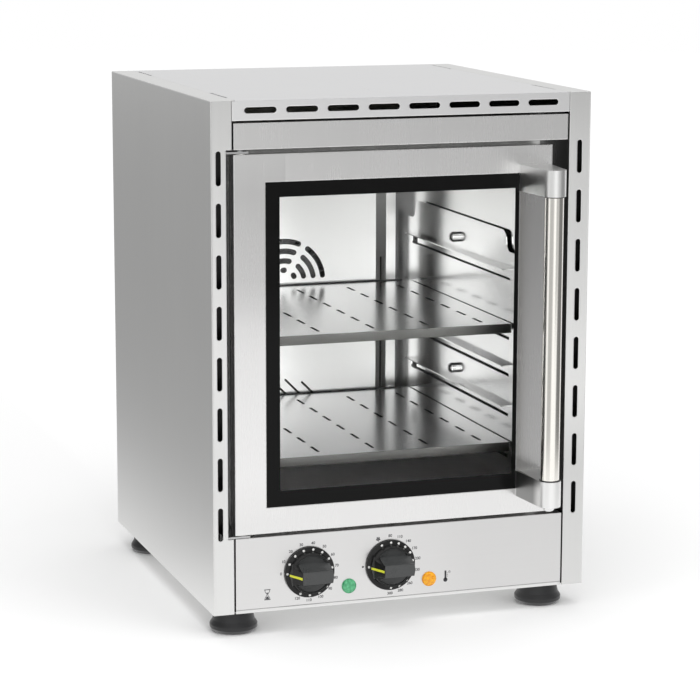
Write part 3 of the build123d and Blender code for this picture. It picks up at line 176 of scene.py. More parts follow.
def circle(x, z, radius, count=24, start=0.0, end=360.0):
    """Points on a circle in x and z, from one angle to another, counted from +X toward +Z."""
    full = abs(end - start) >= 360
    a = np.radians(np.linspace(start, end, count, endpoint=not full))
    return np.stack([x + radius * np.cos(a), z + radius * np.sin(a)], -1)


# Shader groups

class Graph:
    """A node tree with short ways to add nodes and links. An input that is a socket is linked, and any other
    is a value. Numbers name a node's sockets by their place."""

    def __init__(self, tree):
        self.tree = tree

    def add(self, kind, inputs=(), **props):
        node = self.tree.nodes.new(kind)
        for key, value in props.items():
            setattr(node, key, value)
        for key, value in dict(inputs).items():
            if isinstance(value, bpy.types.NodeSocket):
                self.tree.links.new(value, node.inputs[key])
            else:
                node.inputs[key].default_value = value
        return node

    def math(self, operation, a, b=0.0, c=0.0, clamp=False):
        return self.add("ShaderNodeMath", {0: a, 1: b, 2: c}, operation=operation, use_clamp=clamp).outputs[0]

    def vector(self, operation, a, b=(0, 0, 0)):
        return self.add("ShaderNodeVectorMath", {0: a, 1: b}, operation=operation).outputs[0]

    def dot(self, a, b):
        return self.add("ShaderNodeVectorMath", {0: a, 1: b}, operation="DOT_PRODUCT").outputs["Value"]

    def length(self, a):
        return self.add("ShaderNodeVectorMath", {0: a}, operation="LENGTH").outputs["Value"]

    def noise(self, point, scale, detail=2.0, roughness=0.5):
        return self.add("ShaderNodeTexNoise", {"Vector": point, "Scale": scale, "Detail": detail,
                                               "Roughness": roughness}).outputs["Fac"]

    def span(self, value, low, high, to_low=0.0, to_high=1.0):
        return self.add("ShaderNodeMapRange", {"Value": value, "From Min": low, "From Max": high,
                                               "To Min": to_low, "To Max": to_high}).outputs[0]

    def mix(self, share, a, b, how="MIX"):
        return self.add("ShaderNodeMix", {0: share, 6: a, 7: b}, data_type="RGBA", blend_type=how).outputs[2]

    def grey(self, value):
        return self.add("ShaderNodeCombineColor", {0: value, 1: value, 2: value}).outputs[0]

    def link(self, socket, target):
        self.tree.links.new(socket, target)


def effect(name, inputs, outputs, fill):
    """A shader node group. inputs and outputs are (name, kind, value), and fill(graph, inputs) returns the
    output sockets by name."""
    kinds = {"f": "NodeSocketFloat", "v": "NodeSocketVector"}
    tree = bpy.data.node_groups.new(name, "ShaderNodeTree")
    for label, kind, value in inputs:
        tree.interface.new_socket(label, in_out="INPUT", socket_type=kinds[kind]).default_value = value
    for label, kind in outputs:
        tree.interface.new_socket(label, in_out="OUTPUT", socket_type=kinds[kind])
    source = tree.nodes.new("NodeGroupInput")
    sink = tree.nodes.new("NodeGroupOutput")
    for label, socket in fill(Graph(tree), source.outputs).items():
        tree.links.new(socket, sink.inputs[label])
    return tree


def brushed(g, i):
    """Brushing: noise on points squeezed along the grain. Fine lines count for 0.6 and streaks about seven
    times as broad for 0.4, and half is taken off to bring their middle to 0."""
    broad = 0.14
    point = g.vector("MULTIPLY", i["Point"], i["Stretch"])
    fine = g.noise(point, 1.0, 3.0, 0.7)
    streak = g.noise(g.vector("MULTIPLY", point, (broad, broad, broad)), 1.0, 2.0)
    both = g.math("ADD", g.math("MULTIPLY", fine, 0.6), g.math("MULTIPLY", streak, 0.4))
    even = g.math("SUBTRACT", both, 0.5)
    tone = g.math("MULTIPLY_ADD", even, i["Contrast"], 1.0)
    return {"Tone": tone, "Rough": g.math("MULTIPLY", even, i["Spread"]), "Height": fine}


def handled(g, i):
    """Handling: soft clouds of finger grease, about 110 mm across, and upright wipes 26 mm wide and 200 mm
    long, which dull or clear the finish a little. Clouds count for 0.65 and wipes for 0.35."""
    cloud_scale, wipe_scale = 9.0, (38.0, 38.0, 5.0)
    cloud = g.noise(i["Point"], cloud_scale, 4.0, 0.6)
    wipe = g.noise(g.vector("MULTIPLY", i["Point"], wipe_scale), 1.0, 3.0, 0.6)
    value = g.math("SUBTRACT", g.math("MULTIPLY_ADD", wipe, 0.35, g.math("MULTIPLY", cloud, 0.65)), 0.5)
    tone = g.math("MULTIPLY_ADD", value, i["Amount"], 1.0)
    return {"Tone": tone, "Rough": g.math("MULTIPLY", value, i["Amount"])}


def moulded(g, i):
    """Moulded plastic or rubber: a fine pebble from noise, and slow changes of shine, each about 18 mm
    long. Each counts for a half."""
    slow_scale = 55.0
    pebble = g.noise(i["Point"], i["Grain"], 2.0, 0.6)
    slow = g.noise(i["Point"], slow_scale, 2.0)
    even = g.math("SUBTRACT", g.math("MULTIPLY_ADD", pebble, 0.5, g.math("MULTIPLY", slow, 0.5)), 0.5)
    return {"Tone": g.math("MULTIPLY_ADD", even, 0.5, 1.0), "Rough": g.math("MULTIPLY", even, 0.3),
            "Height": pebble}


def zone(g, i):
    """A box in space: 0 outside it, rising to 1 over the distance Soft inside each of its faces."""
    rise = g.vector("DIVIDE", g.vector("SUBTRACT", i["Point"], i["Low"]), i["Soft"])
    fall = g.vector("DIVIDE", g.vector("SUBTRACT", i["High"], i["Point"]), i["Soft"])
    depth = g.vector("MAXIMUM", g.vector("MINIMUM", g.vector("MINIMUM", rise, fall), (1, 1, 1)), (0, 0, 0))
    parts = g.add("ShaderNodeSeparateXYZ", {0: depth}).outputs
    return {"Mask": g.math("MULTIPLY", parts[0], g.math("MULTIPLY", parts[1], parts[2]))}


POINT = ("Point", "v", (0, 0, 0))
TONE, ROUGH, HEIGHT = ("Tone", "f"), ("Rough", "f"), ("Height", "f")
BRUSHED = effect("brushed_lines", [POINT, ("Stretch", "v", (1, 1, 1)), ("Contrast", "f", 0.1),
                                   ("Spread", "f", 0.1)], [TONE, ROUGH, HEIGHT], brushed)
HANDLED = effect("handling_clouds", [POINT, ("Amount", "f", 0.05)], [TONE, ROUGH], handled)
MOULDED = effect("moulded_pebble", [POINT, ("Grain", "f", 1500.0)], [TONE, ROUGH, HEIGHT], moulded)
ZONE = effect("zone_mask", [POINT, ("Low", "v", (-1, -1, -1)), ("High", "v", (1, 1, 1)),
                            ("Soft", "v", (0.001, 0.001, 0.001))], [("Mask", "f")], zone)


def material(name, **constants):
    """A new material: its graph, its Principled shader with constant sockets set, and Object coordinates."""
    made = bpy.data.materials.new(name)
    made.use_nodes = True
    shader = made.node_tree.nodes["Principled BSDF"]
    for key, value in constants.items():
        shader.inputs[key.replace("_", " ")].default_value = value
    graph = Graph(made.node_tree)
    point = graph.add("ShaderNodeTexCoord").outputs["Object"]
    return made, graph, shader, point


def use(g, tree, **inputs):
    """A group node in a material, with its inputs set or linked."""
    return g.add("ShaderNodeGroup", inputs, node_tree=tree).outputs


def tinted(g, colour, tone):
    """A colour times a tone near 1."""
    return g.mix(1.0, (*colour, 1), g.grey(tone), "MULTIPLY")


def steel(name, colour, rough, stretch, contrast=0.10, spread=0.10, marks=0.06, bump=0.02, painted_light_zones=(),
          edge=0.0):
    """Stainless steel with brushed lines along the axis that stretch leaves low, bump mm deep, and faint
    handling marks. Each zone is a box (low, high, soft) and the factor on the tone inside it, which paints
    shade or light there; edge is the radius of softened corners in metres."""
    made, g, shader, point = material(name, Metallic=1.0)
    lines = use(g, BRUSHED, Point=point, Stretch=stretch, Contrast=contrast, Spread=spread)
    cloud = use(g, HANDLED, Point=point, Amount=marks)
    tone = g.math("MULTIPLY", lines["Tone"], cloud["Tone"])
    # Each zone's mask scales the tone: painted shade below 1, painted light above 1
    for low, high, soft, factor in painted_light_zones:
        mask = use(g, ZONE, Point=point, Low=low, High=high, Soft=soft)["Mask"]
        tone = g.math("MULTIPLY", tone, g.math("MULTIPLY_ADD", mask, factor - 1.0, 1.0))
    g.link(tinted(g, colour, tone), shader.inputs["Base Color"])
    value = g.math("ADD", g.math("ADD", lines["Rough"], cloud["Rough"]), rough, clamp=True)
    g.link(value, shader.inputs["Roughness"])
    relief = g.add("ShaderNodeBump", {"Strength": 0.25, "Distance": bump * MM, "Height": lines["Height"]})
    if edge:
        corner = g.add("ShaderNodeBevel", {"Radius": edge}, samples=6)
        g.link(corner.outputs[0], relief.inputs["Normal"])
    g.link(relief.outputs[0], shader.inputs["Normal"])
    return made


def plastic(name, colour, rough, grain, depth, **constants):
    """Moulded plastic or rubber: its colour, a pebble relief depth mm deep, and slow changes of shine."""
    made, g, shader, point = material(name, **constants)
    skin = use(g, MOULDED, Point=point, Grain=grain)
    g.link(tinted(g, colour, skin["Tone"]), shader.inputs["Base Color"])
    g.link(g.math("ADD", skin["Rough"], rough, clamp=True), shader.inputs["Roughness"])
    relief = g.add("ShaderNodeBump", {"Strength": 0.5, "Distance": depth * MM, "Height": skin["Height"]})
    g.link(relief.outputs[0], shader.inputs["Normal"])
    return made


# Brushing: lines per metre across the grain and along it
FINE, LONG = 2200.0, 14.0
UPRIGHT = (FINE, FINE, LONG)
ACROSS = (LONG, FINE, FINE)
DEEP = (FINE, LONG, FINE)
STACKED = (200.0, 1500.0, 200.0)

# Zones of painted shade and painted light: the low and the high corner of a box, how softly it starts along
# each axis, all in metres, and the factor on the tone inside it, below 1 for painted shade and above 1 for
# painted light.
# IN_CASE_PAINTED_SHADE is all that lies behind the outer faces, painted dark as the shade there so slots look
# dark
IN_CASE_PAINTED_SHADE = ((-0.2093, -0.2081, 0.0265), (0.2093, 0.2145, 0.5638), (0.0002, 0.0002, 0.0002), 0.10)
# The front flanges and the top panel's flange are lighter: painted light, a painted reflection
FLANGES_PAINTED_LIGHT = ((-1, -0.2097, 0.17), (1, -0.2086, 0.60), (0.001, 0.0002, 0.12), 1.14)
TOP_FLANGE_PAINTED_LIGHT = ((-1, -0.2097, 0.50), (1, -0.2086, 0.5646), (0.001, 0.0002, 0.0002), 1.25)
# The door's right stile beside the handle is darker: painted shade and painted reflection of the handle
BY_HANDLE_PAINTED_SHADE = ((0.1255, -0.2100, 0.150), (0.175, -0.2070, 0.486), (0.005, 0.0002, 0.012), 0.50)
# The door's left stile is darker above and lighter below: painted reflection, painted shade and painted light
DOOR_UPPER_PAINTED_SHADE = ((-0.19, -0.2100, 0.33), (-0.13, -0.2070, 0.52), (0.001, 0.0002, 0.05), 0.87)
DOOR_LOWER_PAINTED_LIGHT = ((-0.19, -0.2100, 0.12), (-0.13, -0.2070, 0.35), (0.001, 0.0002, 0.05), 1.07)
# The brackets' side faces are darker: painted shade
BRACKET_SIDE_PAINTED_SHADE = ((0.10, -0.2720, 0.10), (0.1338, -0.2080, 0.17), (0.001, 0.004, 0.001), 0.40)
# The right flange is lighter above and darker at its foot: painted light and painted shade
RIGHT_FLANGE_PAINTED_LIGHT = ((0.18, -0.2097, 0.15), (0.22, -0.2086, 0.60), (0.001, 0.0002, 0.08), 1.09)
RIGHT_FOOT_PAINTED_SHADE = ((0.18, -0.2097, -0.1), (0.22, -0.2086, 0.24), (0.001, 0.0002, 0.08), 0.90)
# The control panel is darker toward its right: painted shade
PANEL_RIGHT_PAINTED_SHADE = ((-0.02, -1, 0), (0.3, 1, 0.2), (0.10, 0.01, 0.01), 0.92)
# The front frame is darker in the gaps beside and above the door: painted shade of the gaps
FRAME_GAPS_PAINTED_SHADE = [((-0.22, -1, 0), (-0.1855, 1, 1), (0.0008, 1, 0.001), 0.30),
               ((0.1665, -1, 0), (0.22, 1, 1), (0.0008, 1, 0.001), 0.16),
               ((-1, -1, 0.5098), (1, 1, 1), (0.001, 1, 0.0008), 0.55)]
side_steel = steel("brushed_side_steel", (0.80, 0.80, 0.79), 0.33, UPRIGHT, contrast=0.07,
                   painted_light_zones=[IN_CASE_PAINTED_SHADE, FLANGES_PAINTED_LIGHT, RIGHT_FLANGE_PAINTED_LIGHT, RIGHT_FOOT_PAINTED_SHADE], edge=0.0013)
front_steel = steel("brushed_front_steel", (0.83, 0.825, 0.82), 0.27, UPRIGHT, contrast=0.04, spread=0.04,
                    bump=0.003, painted_light_zones=[BY_HANDLE_PAINTED_SHADE, DOOR_UPPER_PAINTED_SHADE, DOOR_LOWER_PAINTED_LIGHT], edge=0.0013)
panel_steel = steel("brushed_panel_steel", (0.75, 0.745, 0.74), 0.30, ACROSS, contrast=0.06, bump=0.008,
                    painted_light_zones=[PANEL_RIGHT_PAINTED_SHADE], edge=0.0010)
top_steel = steel("brushed_top_steel", (0.80, 0.80, 0.805), 0.30, DEEP, contrast=0.07, painted_light_zones=[TOP_FLANGE_PAINTED_LIGHT],
                  edge=0.0012)
chamber_steel = steel("chamber_steel", (0.97, 0.97, 0.965), 0.17, UPRIGHT, contrast=0.05, spread=0.04)
frame_steel = steel("front_frame_steel", (0.80, 0.80, 0.79), 0.25, UPRIGHT, painted_light_zones=FRAME_GAPS_PAINTED_SHADE)
floor_steel = steel("chamber_floor_steel", (0.98, 0.98, 0.98), 0.50, ACROSS, contrast=0.05, spread=0.04)
baffle_steel = steel("baffle_steel", (0.86, 0.86, 0.855), 0.36, UPRIGHT, contrast=0.03)
# Near black: painted shade for the shelves' slot edges and painted shadow for their rear strip
slot_shade_steel = steel("painted_slot_shade_steel", (0.05, 0.05, 0.05), 0.45, ACROSS)
back_steel = steel("chamber_back_steel", (0.16, 0.16, 0.16), 0.35, UPRIGHT)
hem_steel = steel("dark_hem_steel", (0.14, 0.14, 0.135), 0.34, ACROSS, contrast=0.06)
shelf_steel = steel("shelf_steel", (0.98, 0.98, 0.99), 0.22, ACROSS, contrast=0.05, spread=0.04)
rack_steel = steel("rack_steel", (0.97, 0.97, 0.97), 0.17, DEEP, contrast=0.05, spread=0.04)
bright_steel = steel("bright_fastener_steel", (0.80, 0.80, 0.80), 0.08, ACROSS, contrast=0.02, spread=0.02)
plain_steel = steel("plain_steel", (0.55, 0.55, 0.55), 0.32, ACROSS)
tube_steel = steel("brushed_tube_steel", (0.98, 0.955, 0.90), 0.15, UPRIGHT, contrast=0.12, spread=0.05)
cast_metal = steel("polished_bracket_metal", (0.93, 0.93, 0.92), 0.34, UPRIGHT, contrast=0.04,
                   painted_light_zones=[BRACKET_SIDE_PAINTED_SHADE])
element_metal = steel("heater_sheath", (0.08, 0.07, 0.06), 0.45, DEEP, contrast=0.2)
motor_metal = steel("motor_laminations", (0.20, 0.20, 0.21), 0.45, STACKED, contrast=0.4)
fan_metal = steel("fan_aluminium", (0.16, 0.16, 0.16), 0.38, ACROSS)

# Grip and crown are one black plastic: the grip's paler copy is painted light, and the ramp takes the darker
# copy as painted shade
grip_plastic_lit_copy = plastic("satin_grip_plastic_lit_copy", (0.050, 0.052, 0.052), 0.30, 1500.0, 0.03)
skirt_plastic = plastic("glossy_skirt_plastic", (0.012, 0.012, 0.012), 0.20, 1500.0, 0.01,
                        Specular_IOR_Level=0.28)
foot_rubber = plastic("black_foot_rubber", (0.012, 0.012, 0.013), 0.42, 700.0, 0.06)
seal_rubber = plastic("door_seal_rubber", (0.03, 0.03, 0.03), 0.55, 900.0, 0.05)
body_plastic = plastic("pale_body_plastic", (0.78, 0.76, 0.70), 0.45, 900.0, 0.03)
bush_plastic = plastic("bush_plastic", (0.72, 0.72, 0.69), 0.40, 900.0, 0.02)
gland_plastic = plastic("black_gland_plastic", (0.03, 0.03, 0.03), 0.40, 900.0, 0.05)
magnet_plastic = plastic("magnet_plastic", (0.35, 0.35, 0.35), 0.50, 900.0, 0.03)
spacer_black = plastic("black_spacer", (0.02, 0.02, 0.02), 0.40, 900.0, 0.02)
print_black = plastic("black_glass_print", (0.004, 0.004, 0.004), 0.12, 300.0, 0.0, Specular_IOR_Level=0.12)
ink = plastic("panel_ink", (0.03, 0.03, 0.035), 0.45, 2500.0, 0.0)
pale_ink = plastic("pale_mark", (0.80, 0.80, 0.78), 0.40, 2500.0, 0.0)
pointer_yellow = plastic("pointer_yellow", (0.72, 0.74, 0.04), 0.35, 2500.0, 0.0)


def coloured_lens(name, pale, deep, painted_glow):
    """A moulded lamp lens: cells and clouds, each 3 to 4 mm across, blend a pale and a deep colour, and a
    faint painted glow stands for light passing through it."""
    cell_scale, cloud_scale = 300.0, 260.0
    made, g, shader, point = material(name, Roughness=0.25, Coat_Weight=0.2, Coat_Roughness=0.05,
                                      Emission_Strength=painted_glow)
    cells = g.add("ShaderNodeTexVoronoi", {"Vector": point, "Scale": cell_scale}).outputs["Distance"]
    cloud = g.noise(point, cloud_scale, 2.0)
    value = g.math("MULTIPLY_ADD", cloud, 0.6, g.math("MULTIPLY", cells, 0.5), clamp=True)
    blend = g.mix(g.span(value, 0.30, 0.95), (*pale, 1), (*deep, 1))
    g.link(blend, shader.inputs["Base Color"])
    g.link(blend, shader.inputs["Emission Color"])
    relief = g.add("ShaderNodeBump", {"Strength": 0.6, "Distance": 0.0004, "Height": cells})
    g.link(relief.outputs[0], shader.inputs["Normal"])
    return made


green_lens = coloured_lens("green_lens", (0.12, 0.48, 0.24), (0.006, 0.17, 0.06), 0.10)
orange_lens = coloured_lens("orange_lens", (0.86, 0.42, 0.006), (0.60, 0.17, 0.001), 0.10)
wool = plastic("mineral_wool", (0.55, 0.50, 0.36), 0.9, 420.0, 1.2)


def toughened(name):
    """Clear toughened glass with the faintest handling marks. Its low index stands for a thin pane's weak
    reflection."""
    made, g, shader, point = material(name, Roughness=0.0, IOR=1.12, Transmission_Weight=1.0)
    haze = use(g, HANDLED, Point=point, Amount=0.01)
    g.link(tinted(g, (0.998, 1.0, 0.996), haze["Tone"]), shader.inputs["Base Color"])
    return made


clear_glass = toughened("clear_glass")

FINISH = {
    side_steel: ["left_side_panel", "right_side_panel", "rear_panel", "motor_cover", "base_panel"],
    top_steel: ["top_panel"],
    panel_steel: ["control_panel"],
    front_steel: ["door_outer_skin", "fascia"],
    chamber_steel: ["chamber_roof", "chamber_left_wall", "chamber_right_wall", "door_inner_pan"],
    frame_steel: ["front_frame"],
    floor_steel: ["chamber_floor"],
    back_steel: ["chamber_back"],
    baffle_steel: ["air_baffle"],
    shelf_steel: ["upper_shelf", "lower_shelf"],
    rack_steel: ["rack_left", "rack_right"],
    bright_steel: ["rack_nuts", "case_screws", "door_screws", "fan_nut"],
    plain_steel: ["hinge_plate_top", "hinge_plate_bottom", "hinge_pins", "motor_bracket", "motor_shaft",
                  "timer_shaft", "thermostat_shaft"],
    tube_steel: ["handle_tube"],
    cast_metal: ["handle_bracket_top", "handle_bracket_bottom"],
    clear_glass: ["outer_glass", "inner_glass"],
    spacer_black: ["glass_rails"],
    seal_rubber: ["door_seal"],
    foot_rubber: ["foot_front_left", "foot_front_right", "foot_rear_left", "foot_rear_right"],
    skirt_plastic: ["timer_knob", "thermostat_knob"],
    green_lens: ["green_lamp"],
    orange_lens: ["orange_lamp"],
    bush_plastic: ["hinge_bushes"],
    body_plastic: ["timer_body", "thermostat_body", "terminal_block", "safety_thermostat"],
    gland_plastic: ["cable_gland"],
    magnet_plastic: ["magnet_catch"],
    wool: ["insulation_wrap", "insulation_bottom", "insulation_rear"],
    element_metal: ["ring_element"],
    fan_metal: ["fan_impeller"],
    motor_metal: ["fan_motor"],
}
for finish, names in FINISH.items():
    for name in names:
        NODES[name].data.materials.clear()
        NODES[name].data.materials.append(finish)
left_out = sorted(set(NODES) - {n for names in FINISH.values() for n in names})
if left_out:
    raise ValueError(f"no finish for {left_out}")


# Marks on the panel: angles in degrees from +X toward +Z, the timer's steps, and each temperature's angle
OFF, FAN_ONLY = 180, 115
TIMER_MARKS, TIMER_STEP = 13, 24.6
HEAT_MARKS = {80: 90, 110: 70, 140: 50, 170: 30, 200: 8, 230: -15, 260: -45, 280: -68, 300: -90}
INK = 0.00006
INK_FRONT, INK_BACK = PANEL_Y - INK, PANEL_Y + 0.00002

# Knobs, in mm: heights above the panel, half widths, and the ends of the grip along its length
SKIRT_TOP = 2.4
GRIP_TOP, GRIP_NOSE, GRIP_SLOPE = 26.9, -15.3, 2.13
GRIP_FOOT, GRIP_HALF, GRIP_FLARE = 8.0, 6.7, 5.8
GRIP_TIP, GRIP_TAIL, TAIL_LEAN = 24.4, 22.3, 0.185


def on_knob(loops, at):
    """Loops of points (u, w, h) in mm, put in place on a knob: u along X, w up Z and h out of the panel, with
    both ends closed at their middles."""
    caps = [np.repeat(loops[i].mean(0)[None, None], loops.shape[1], 1) for i in (0, -1)]
    loops = np.concatenate([caps[0], loops, caps[1]])
    place = np.stack([loops[..., 0], -loops[..., 2], loops[..., 1]], -1) * MM + np.array(at)
    return place.reshape(-1, 3), grid_quads(len(loops), loops.shape[1], True)


def knob_body(at):
    """Skirt, tapered crown and rim: one profile of radius and height in mm, turned round the shaft."""
    profile = [(0, 0), (26.9, 0), (27.4, 0.2), (27.5, 0.5), (27.5, 1.8), (27.3, 2.2), (26.8, SKIRT_TOP),
               (23.6, SKIRT_TOP), (23.1, 2.6), (22.9, 3.2), (21.9, 10.2), (21.7, 10.8), (21.2, 11.0),
               (20.5, 11.0), (20.4, 7.9), (0, 7.9)]
    return turned(np.array(profile) * MM, at, (0, -1, 0), 96)


def knob_dish(at):
    """The sunk middle of the crown: a shallow dish with a rounded wall, turned round the shaft."""
    profile = [(0, 7.6), (20.35, 7.6), (20.45, 11.02), (20.1, 10.8), (19.9, 10.3), (19.5, 8.8), (18.9, 8.5),
               (0, 8.5)]
    return turned(np.array(profile) * MM, at, (0, -1, 0), 96)


def knob_grip(at, u):
    """The grip over the stations u. Its top is level, then falls in a straight ramp to the tip. Across w each
    side runs up from a wide root in a hollow curve, half width = GRIP_HALF + GRIP_FLARE (1 - t)^2. The ends
    follow circles round the shaft, and the tail's circle shrinks with height."""
    top = np.where(u < GRIP_NOSE, GRIP_TOP + (u - GRIP_NOSE) * GRIP_SLOPE, GRIP_TOP)[:, None]
    t = np.linspace(0, 1, 11)[None, :]
    share = (top - GRIP_FOOT) / (GRIP_TOP - GRIP_FOOT)
    flank_h = GRIP_FOOT + (top - GRIP_FOOT - 0.3) * t
    flank_w = GRIP_HALF + GRIP_FLARE * (1 - np.clip(t * share, 0, 1)) ** 2
    corner_w = flank_w[:, -1:] - np.array([[0.08, 0.3, 0.7]])
    corner_h = top - np.array([[0.20, 0.05, 0.0]])
    side_w = np.concatenate([flank_w[:, :1], flank_w, corner_w], 1)
    side_h = np.concatenate([GRIP_FOOT - 1 + 0 * top, flank_h, corner_h], 1)
    w = np.concatenate([side_w, 0 * top, -side_w[:, ::-1]], 1)
    h = np.concatenate([side_h, top + 0.08, side_h[:, ::-1]], 1)
    tail = np.sqrt(np.maximum((GRIP_TAIL - TAIL_LEAN * (h - GRIP_FOOT)) ** 2 - w ** 2, 1.0))
    tip = -np.sqrt(np.maximum(GRIP_TIP ** 2 - w ** 2, 1.0))
    return on_knob(np.stack([np.clip(u[:, None] + 0 * w, tip, tail), w, h], -1), at)


def knob_pointer(at):
    """A raised strip down the ramp: a flat stroke from the top of the ramp to its tip, 0.25 mm proud of it
    and 0.3 mm into it, its half width 1.3 - 0.25 t^4."""
    start, end, proud, sunk, count = -15.7, -24.1, 0.25, -0.3, 9
    u = np.linspace(start, end, count)
    h = GRIP_TOP + (u - GRIP_NOSE) * GRIP_SLOPE
    half = 1.3 - 0.25 * np.linspace(0, 1, count) ** 4
    corners = ((1, proud), (-1, proud), (-1, sunk), (1, sunk))
    return on_knob(np.stack([np.stack([u - lift * 0.6, side * half, h + lift * 0.5], -1)
                             for side, lift in corners], 1), at)


def spot(x, y, z, radius, height):
    """A small round mark on a face that looks toward -Y, with a softened edge."""
    profile = np.array([(0, -height), (radius, -height), (radius, height * 0.6), (radius * 0.92, height),
                        (0, height)])
    return turned(profile, (x, y, z), (0, -1, 0), 20)


def lens(at, radius, edge, proud, ribs, depth):
    """A lamp's lens. Its front is a dome, proud at the middle and edge high at the rim, with ribs that swell
    with the radius r from 0 to 1: depth cos(ribs a) r (1 - r^8). A wall closes it back to the panel and a
    shank runs on inside."""
    segments, shank, inside = 96, 0.7 * radius, -0.018
    r = np.concatenate([[0.0], np.linspace(0.12, 1, 16)])[:, None]
    a = np.linspace(0, 2 * np.pi, segments, endpoint=False)[None, :]
    ripple = depth * np.cos(ribs * a) * r * (1 - r ** 8)
    height = edge + (proud - edge - depth) * np.sqrt(1 - r ** 2 * 0.999) + ripple
    front = np.stack([r * np.cos(a) * radius, -height, r * np.sin(a) * radius], -1)
    circle_xz = np.stack([np.cos(a[0]), 0 * a[0], np.sin(a[0])], -1)
    rest = [circle_xz * wall + (0, -h, 0)
            for wall, h in ((radius, 0.0), (shank, 0.0), (shank, inside), (0, inside))]
    points = np.concatenate([front, np.stack(rest)])
    return points.reshape(-1, 3) + np.array(at), grid_quads(len(points), segments, True)


def strip_x(x0, x1, section):
    """A closed outline in y and z carried straight along X from x0 to x1, with both ends closed."""
    section = np.array(section, float)
    x = np.array([x0, x0, x1, x1])[:, None]
    loops = np.broadcast_to(section[None], (4, len(section), 2)).copy()
    loops[0] = loops[3] = section.mean(0)
    points = np.stack([x + 0 * loops[..., 0], loops[..., 0], loops[..., 1]], -1)
    return points.reshape(-1, 3), grid_quads(4, len(section), True)


def words(name, entries, size, y):
    """Numbers on a face that looks toward -Y. entries are (text, x, z); each is set about its own middle,
    made a mesh, turned upright and moved there."""
    thick, bolder = 0.00002, 0.00009
    made = []
    for text, x, z in entries:
        curve = bpy.data.curves.new(name, "FONT")
        curve.body = text
        curve.size = size
        curve.extrude = thick
        curve.offset = bolder
        curve.align_x = "CENTER"
        curve.align_y = "CENTER"
        holder = bpy.data.objects.new(name, curve)
        bpy.context.scene.collection.objects.link(holder)
        bpy.context.view_layer.update()
        mesh = bpy.data.meshes.new_from_object(holder.evaluated_get(bpy.context.evaluated_depsgraph_get()))
        bpy.data.objects.remove(holder)
        bpy.data.curves.remove(curve)
        mesh.transform(Matrix.Translation((x, y, z)) @ Matrix.Rotation(math.radians(90), 4, "X"))
        made.append(mesh)
    shell = bmesh.new()
    for mesh in made:
        shell.from_mesh(mesh)
        bpy.data.meshes.remove(mesh)
    bmesh.ops.remove_doubles(shell, verts=shell.verts, dist=SAME_POINT / 2)
    whole = bpy.data.meshes.new(name)
    shell.to_mesh(whole)
    shell.free()
    item = bpy.data.objects.new(name, whole)
    bpy.context.scene.collection.objects.link(item)
    whole.materials.append(ink)
    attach(item, "case")
    return item


def around(at, radius, degrees):
    """A place on a circle round a knob's centre, by angle from +X toward +Z."""
    return at.x + radius * math.cos(math.radians(degrees)), at.z + radius * math.sin(math.radians(degrees))


def batt(low, high, lumps, seed):
    """A slab of mineral wool: a box of cells, its loops walked round in Y and Z and spaced along X, smaller
    at both ends. Each point is pulled in by lumps (0.5 + 0.22 sum of sin(place waves pitch) / (pitch + 1))."""
    cell, end = 0.008, 0.94
    waves, pitches = np.array([310.0, 190.0, 430.0]), (0.5, 0.9, 1.7, 2.6)
    low, high = np.array(low), np.array(high)
    size = high - low
    nx = max(6, int(size[0] / cell))
    per = []
    for edge_y, edge_z in ((0, 1), (1, 0), (0, -1), (-1, 0)):
        n = max(4, int(size[2 if edge_z else 1] / cell))
        t = np.linspace(-1, 1, n, endpoint=False)
        per.append(np.stack([np.full(n, edge_z), t] if edge_z else [-t * edge_y, np.full(n, edge_y)], -1)
                   * ([1, 1] if edge_z >= 0 else [1, -1]))
    loop = np.concatenate(per)
    x = np.concatenate([[0, 0], np.linspace(0, 1, nx), [1, 1]])
    grow = np.concatenate([[0, 0.5], np.ones(nx), [0.5, 0]])
    grow[2] = grow[-3] = end
    place = np.stack([low[0] + size[0] * x[:, None] + 0 * loop[None, :, 0],
                      (low[1] + high[1]) / 2 + size[1] / 2 * loop[None, :, 0] * grow[:, None],
                      (low[2] + high[2]) / 2 + size[2] / 2 * loop[None, :, 1] * grow[:, None]], -1)
    wave = sum(np.sin((place * waves * s).sum(-1) + seed + s) / (s + 1) for s in pitches)
    pull = lumps * (0.5 + 0.22 * wave)
    middle = (low + high) / 2
    toward = np.sign(middle - place) * np.minimum(np.abs(middle - place), pull[..., None])
    return (place + toward).reshape(-1, 3), grid_quads(len(x), len(loop), True)


def screw_cap(x, y, z, radius, height):
    """A pan head that looks toward +Y: height sqrt(1 - 0.75 r^2), less a cross of two slots that end at 0.62
    of the radius. The slots' half width and the softness of their walls are shares of the radius too."""
    half, wall, reach, end_wall, deep = 0.17, 0.05, 0.62, 0.08, 0.55
    r = np.concatenate([np.linspace(0, 1, 15), [1.0, 0.0]])[:, None]
    a = np.linspace(0, 2 * np.pi, 64, endpoint=False)[None, :]
    dome = height * np.sqrt(1 - 0.75 * np.minimum(r, 1) ** 2)
    beside = r * np.minimum(np.abs(np.sin(a)), np.abs(np.cos(a)))
    cross = np.clip((half - beside) / wall, 0, 1) * np.clip((reach - r) / end_wall, 0, 1)
    h = dome - deep * height * cross
    h[-2:] = 0.0
    points = np.stack([x + radius * r * np.cos(a), y + h, z + radius * r * np.sin(a)], -1)
    return points.reshape(-1, 3), grid_quads(len(r), 64, True)


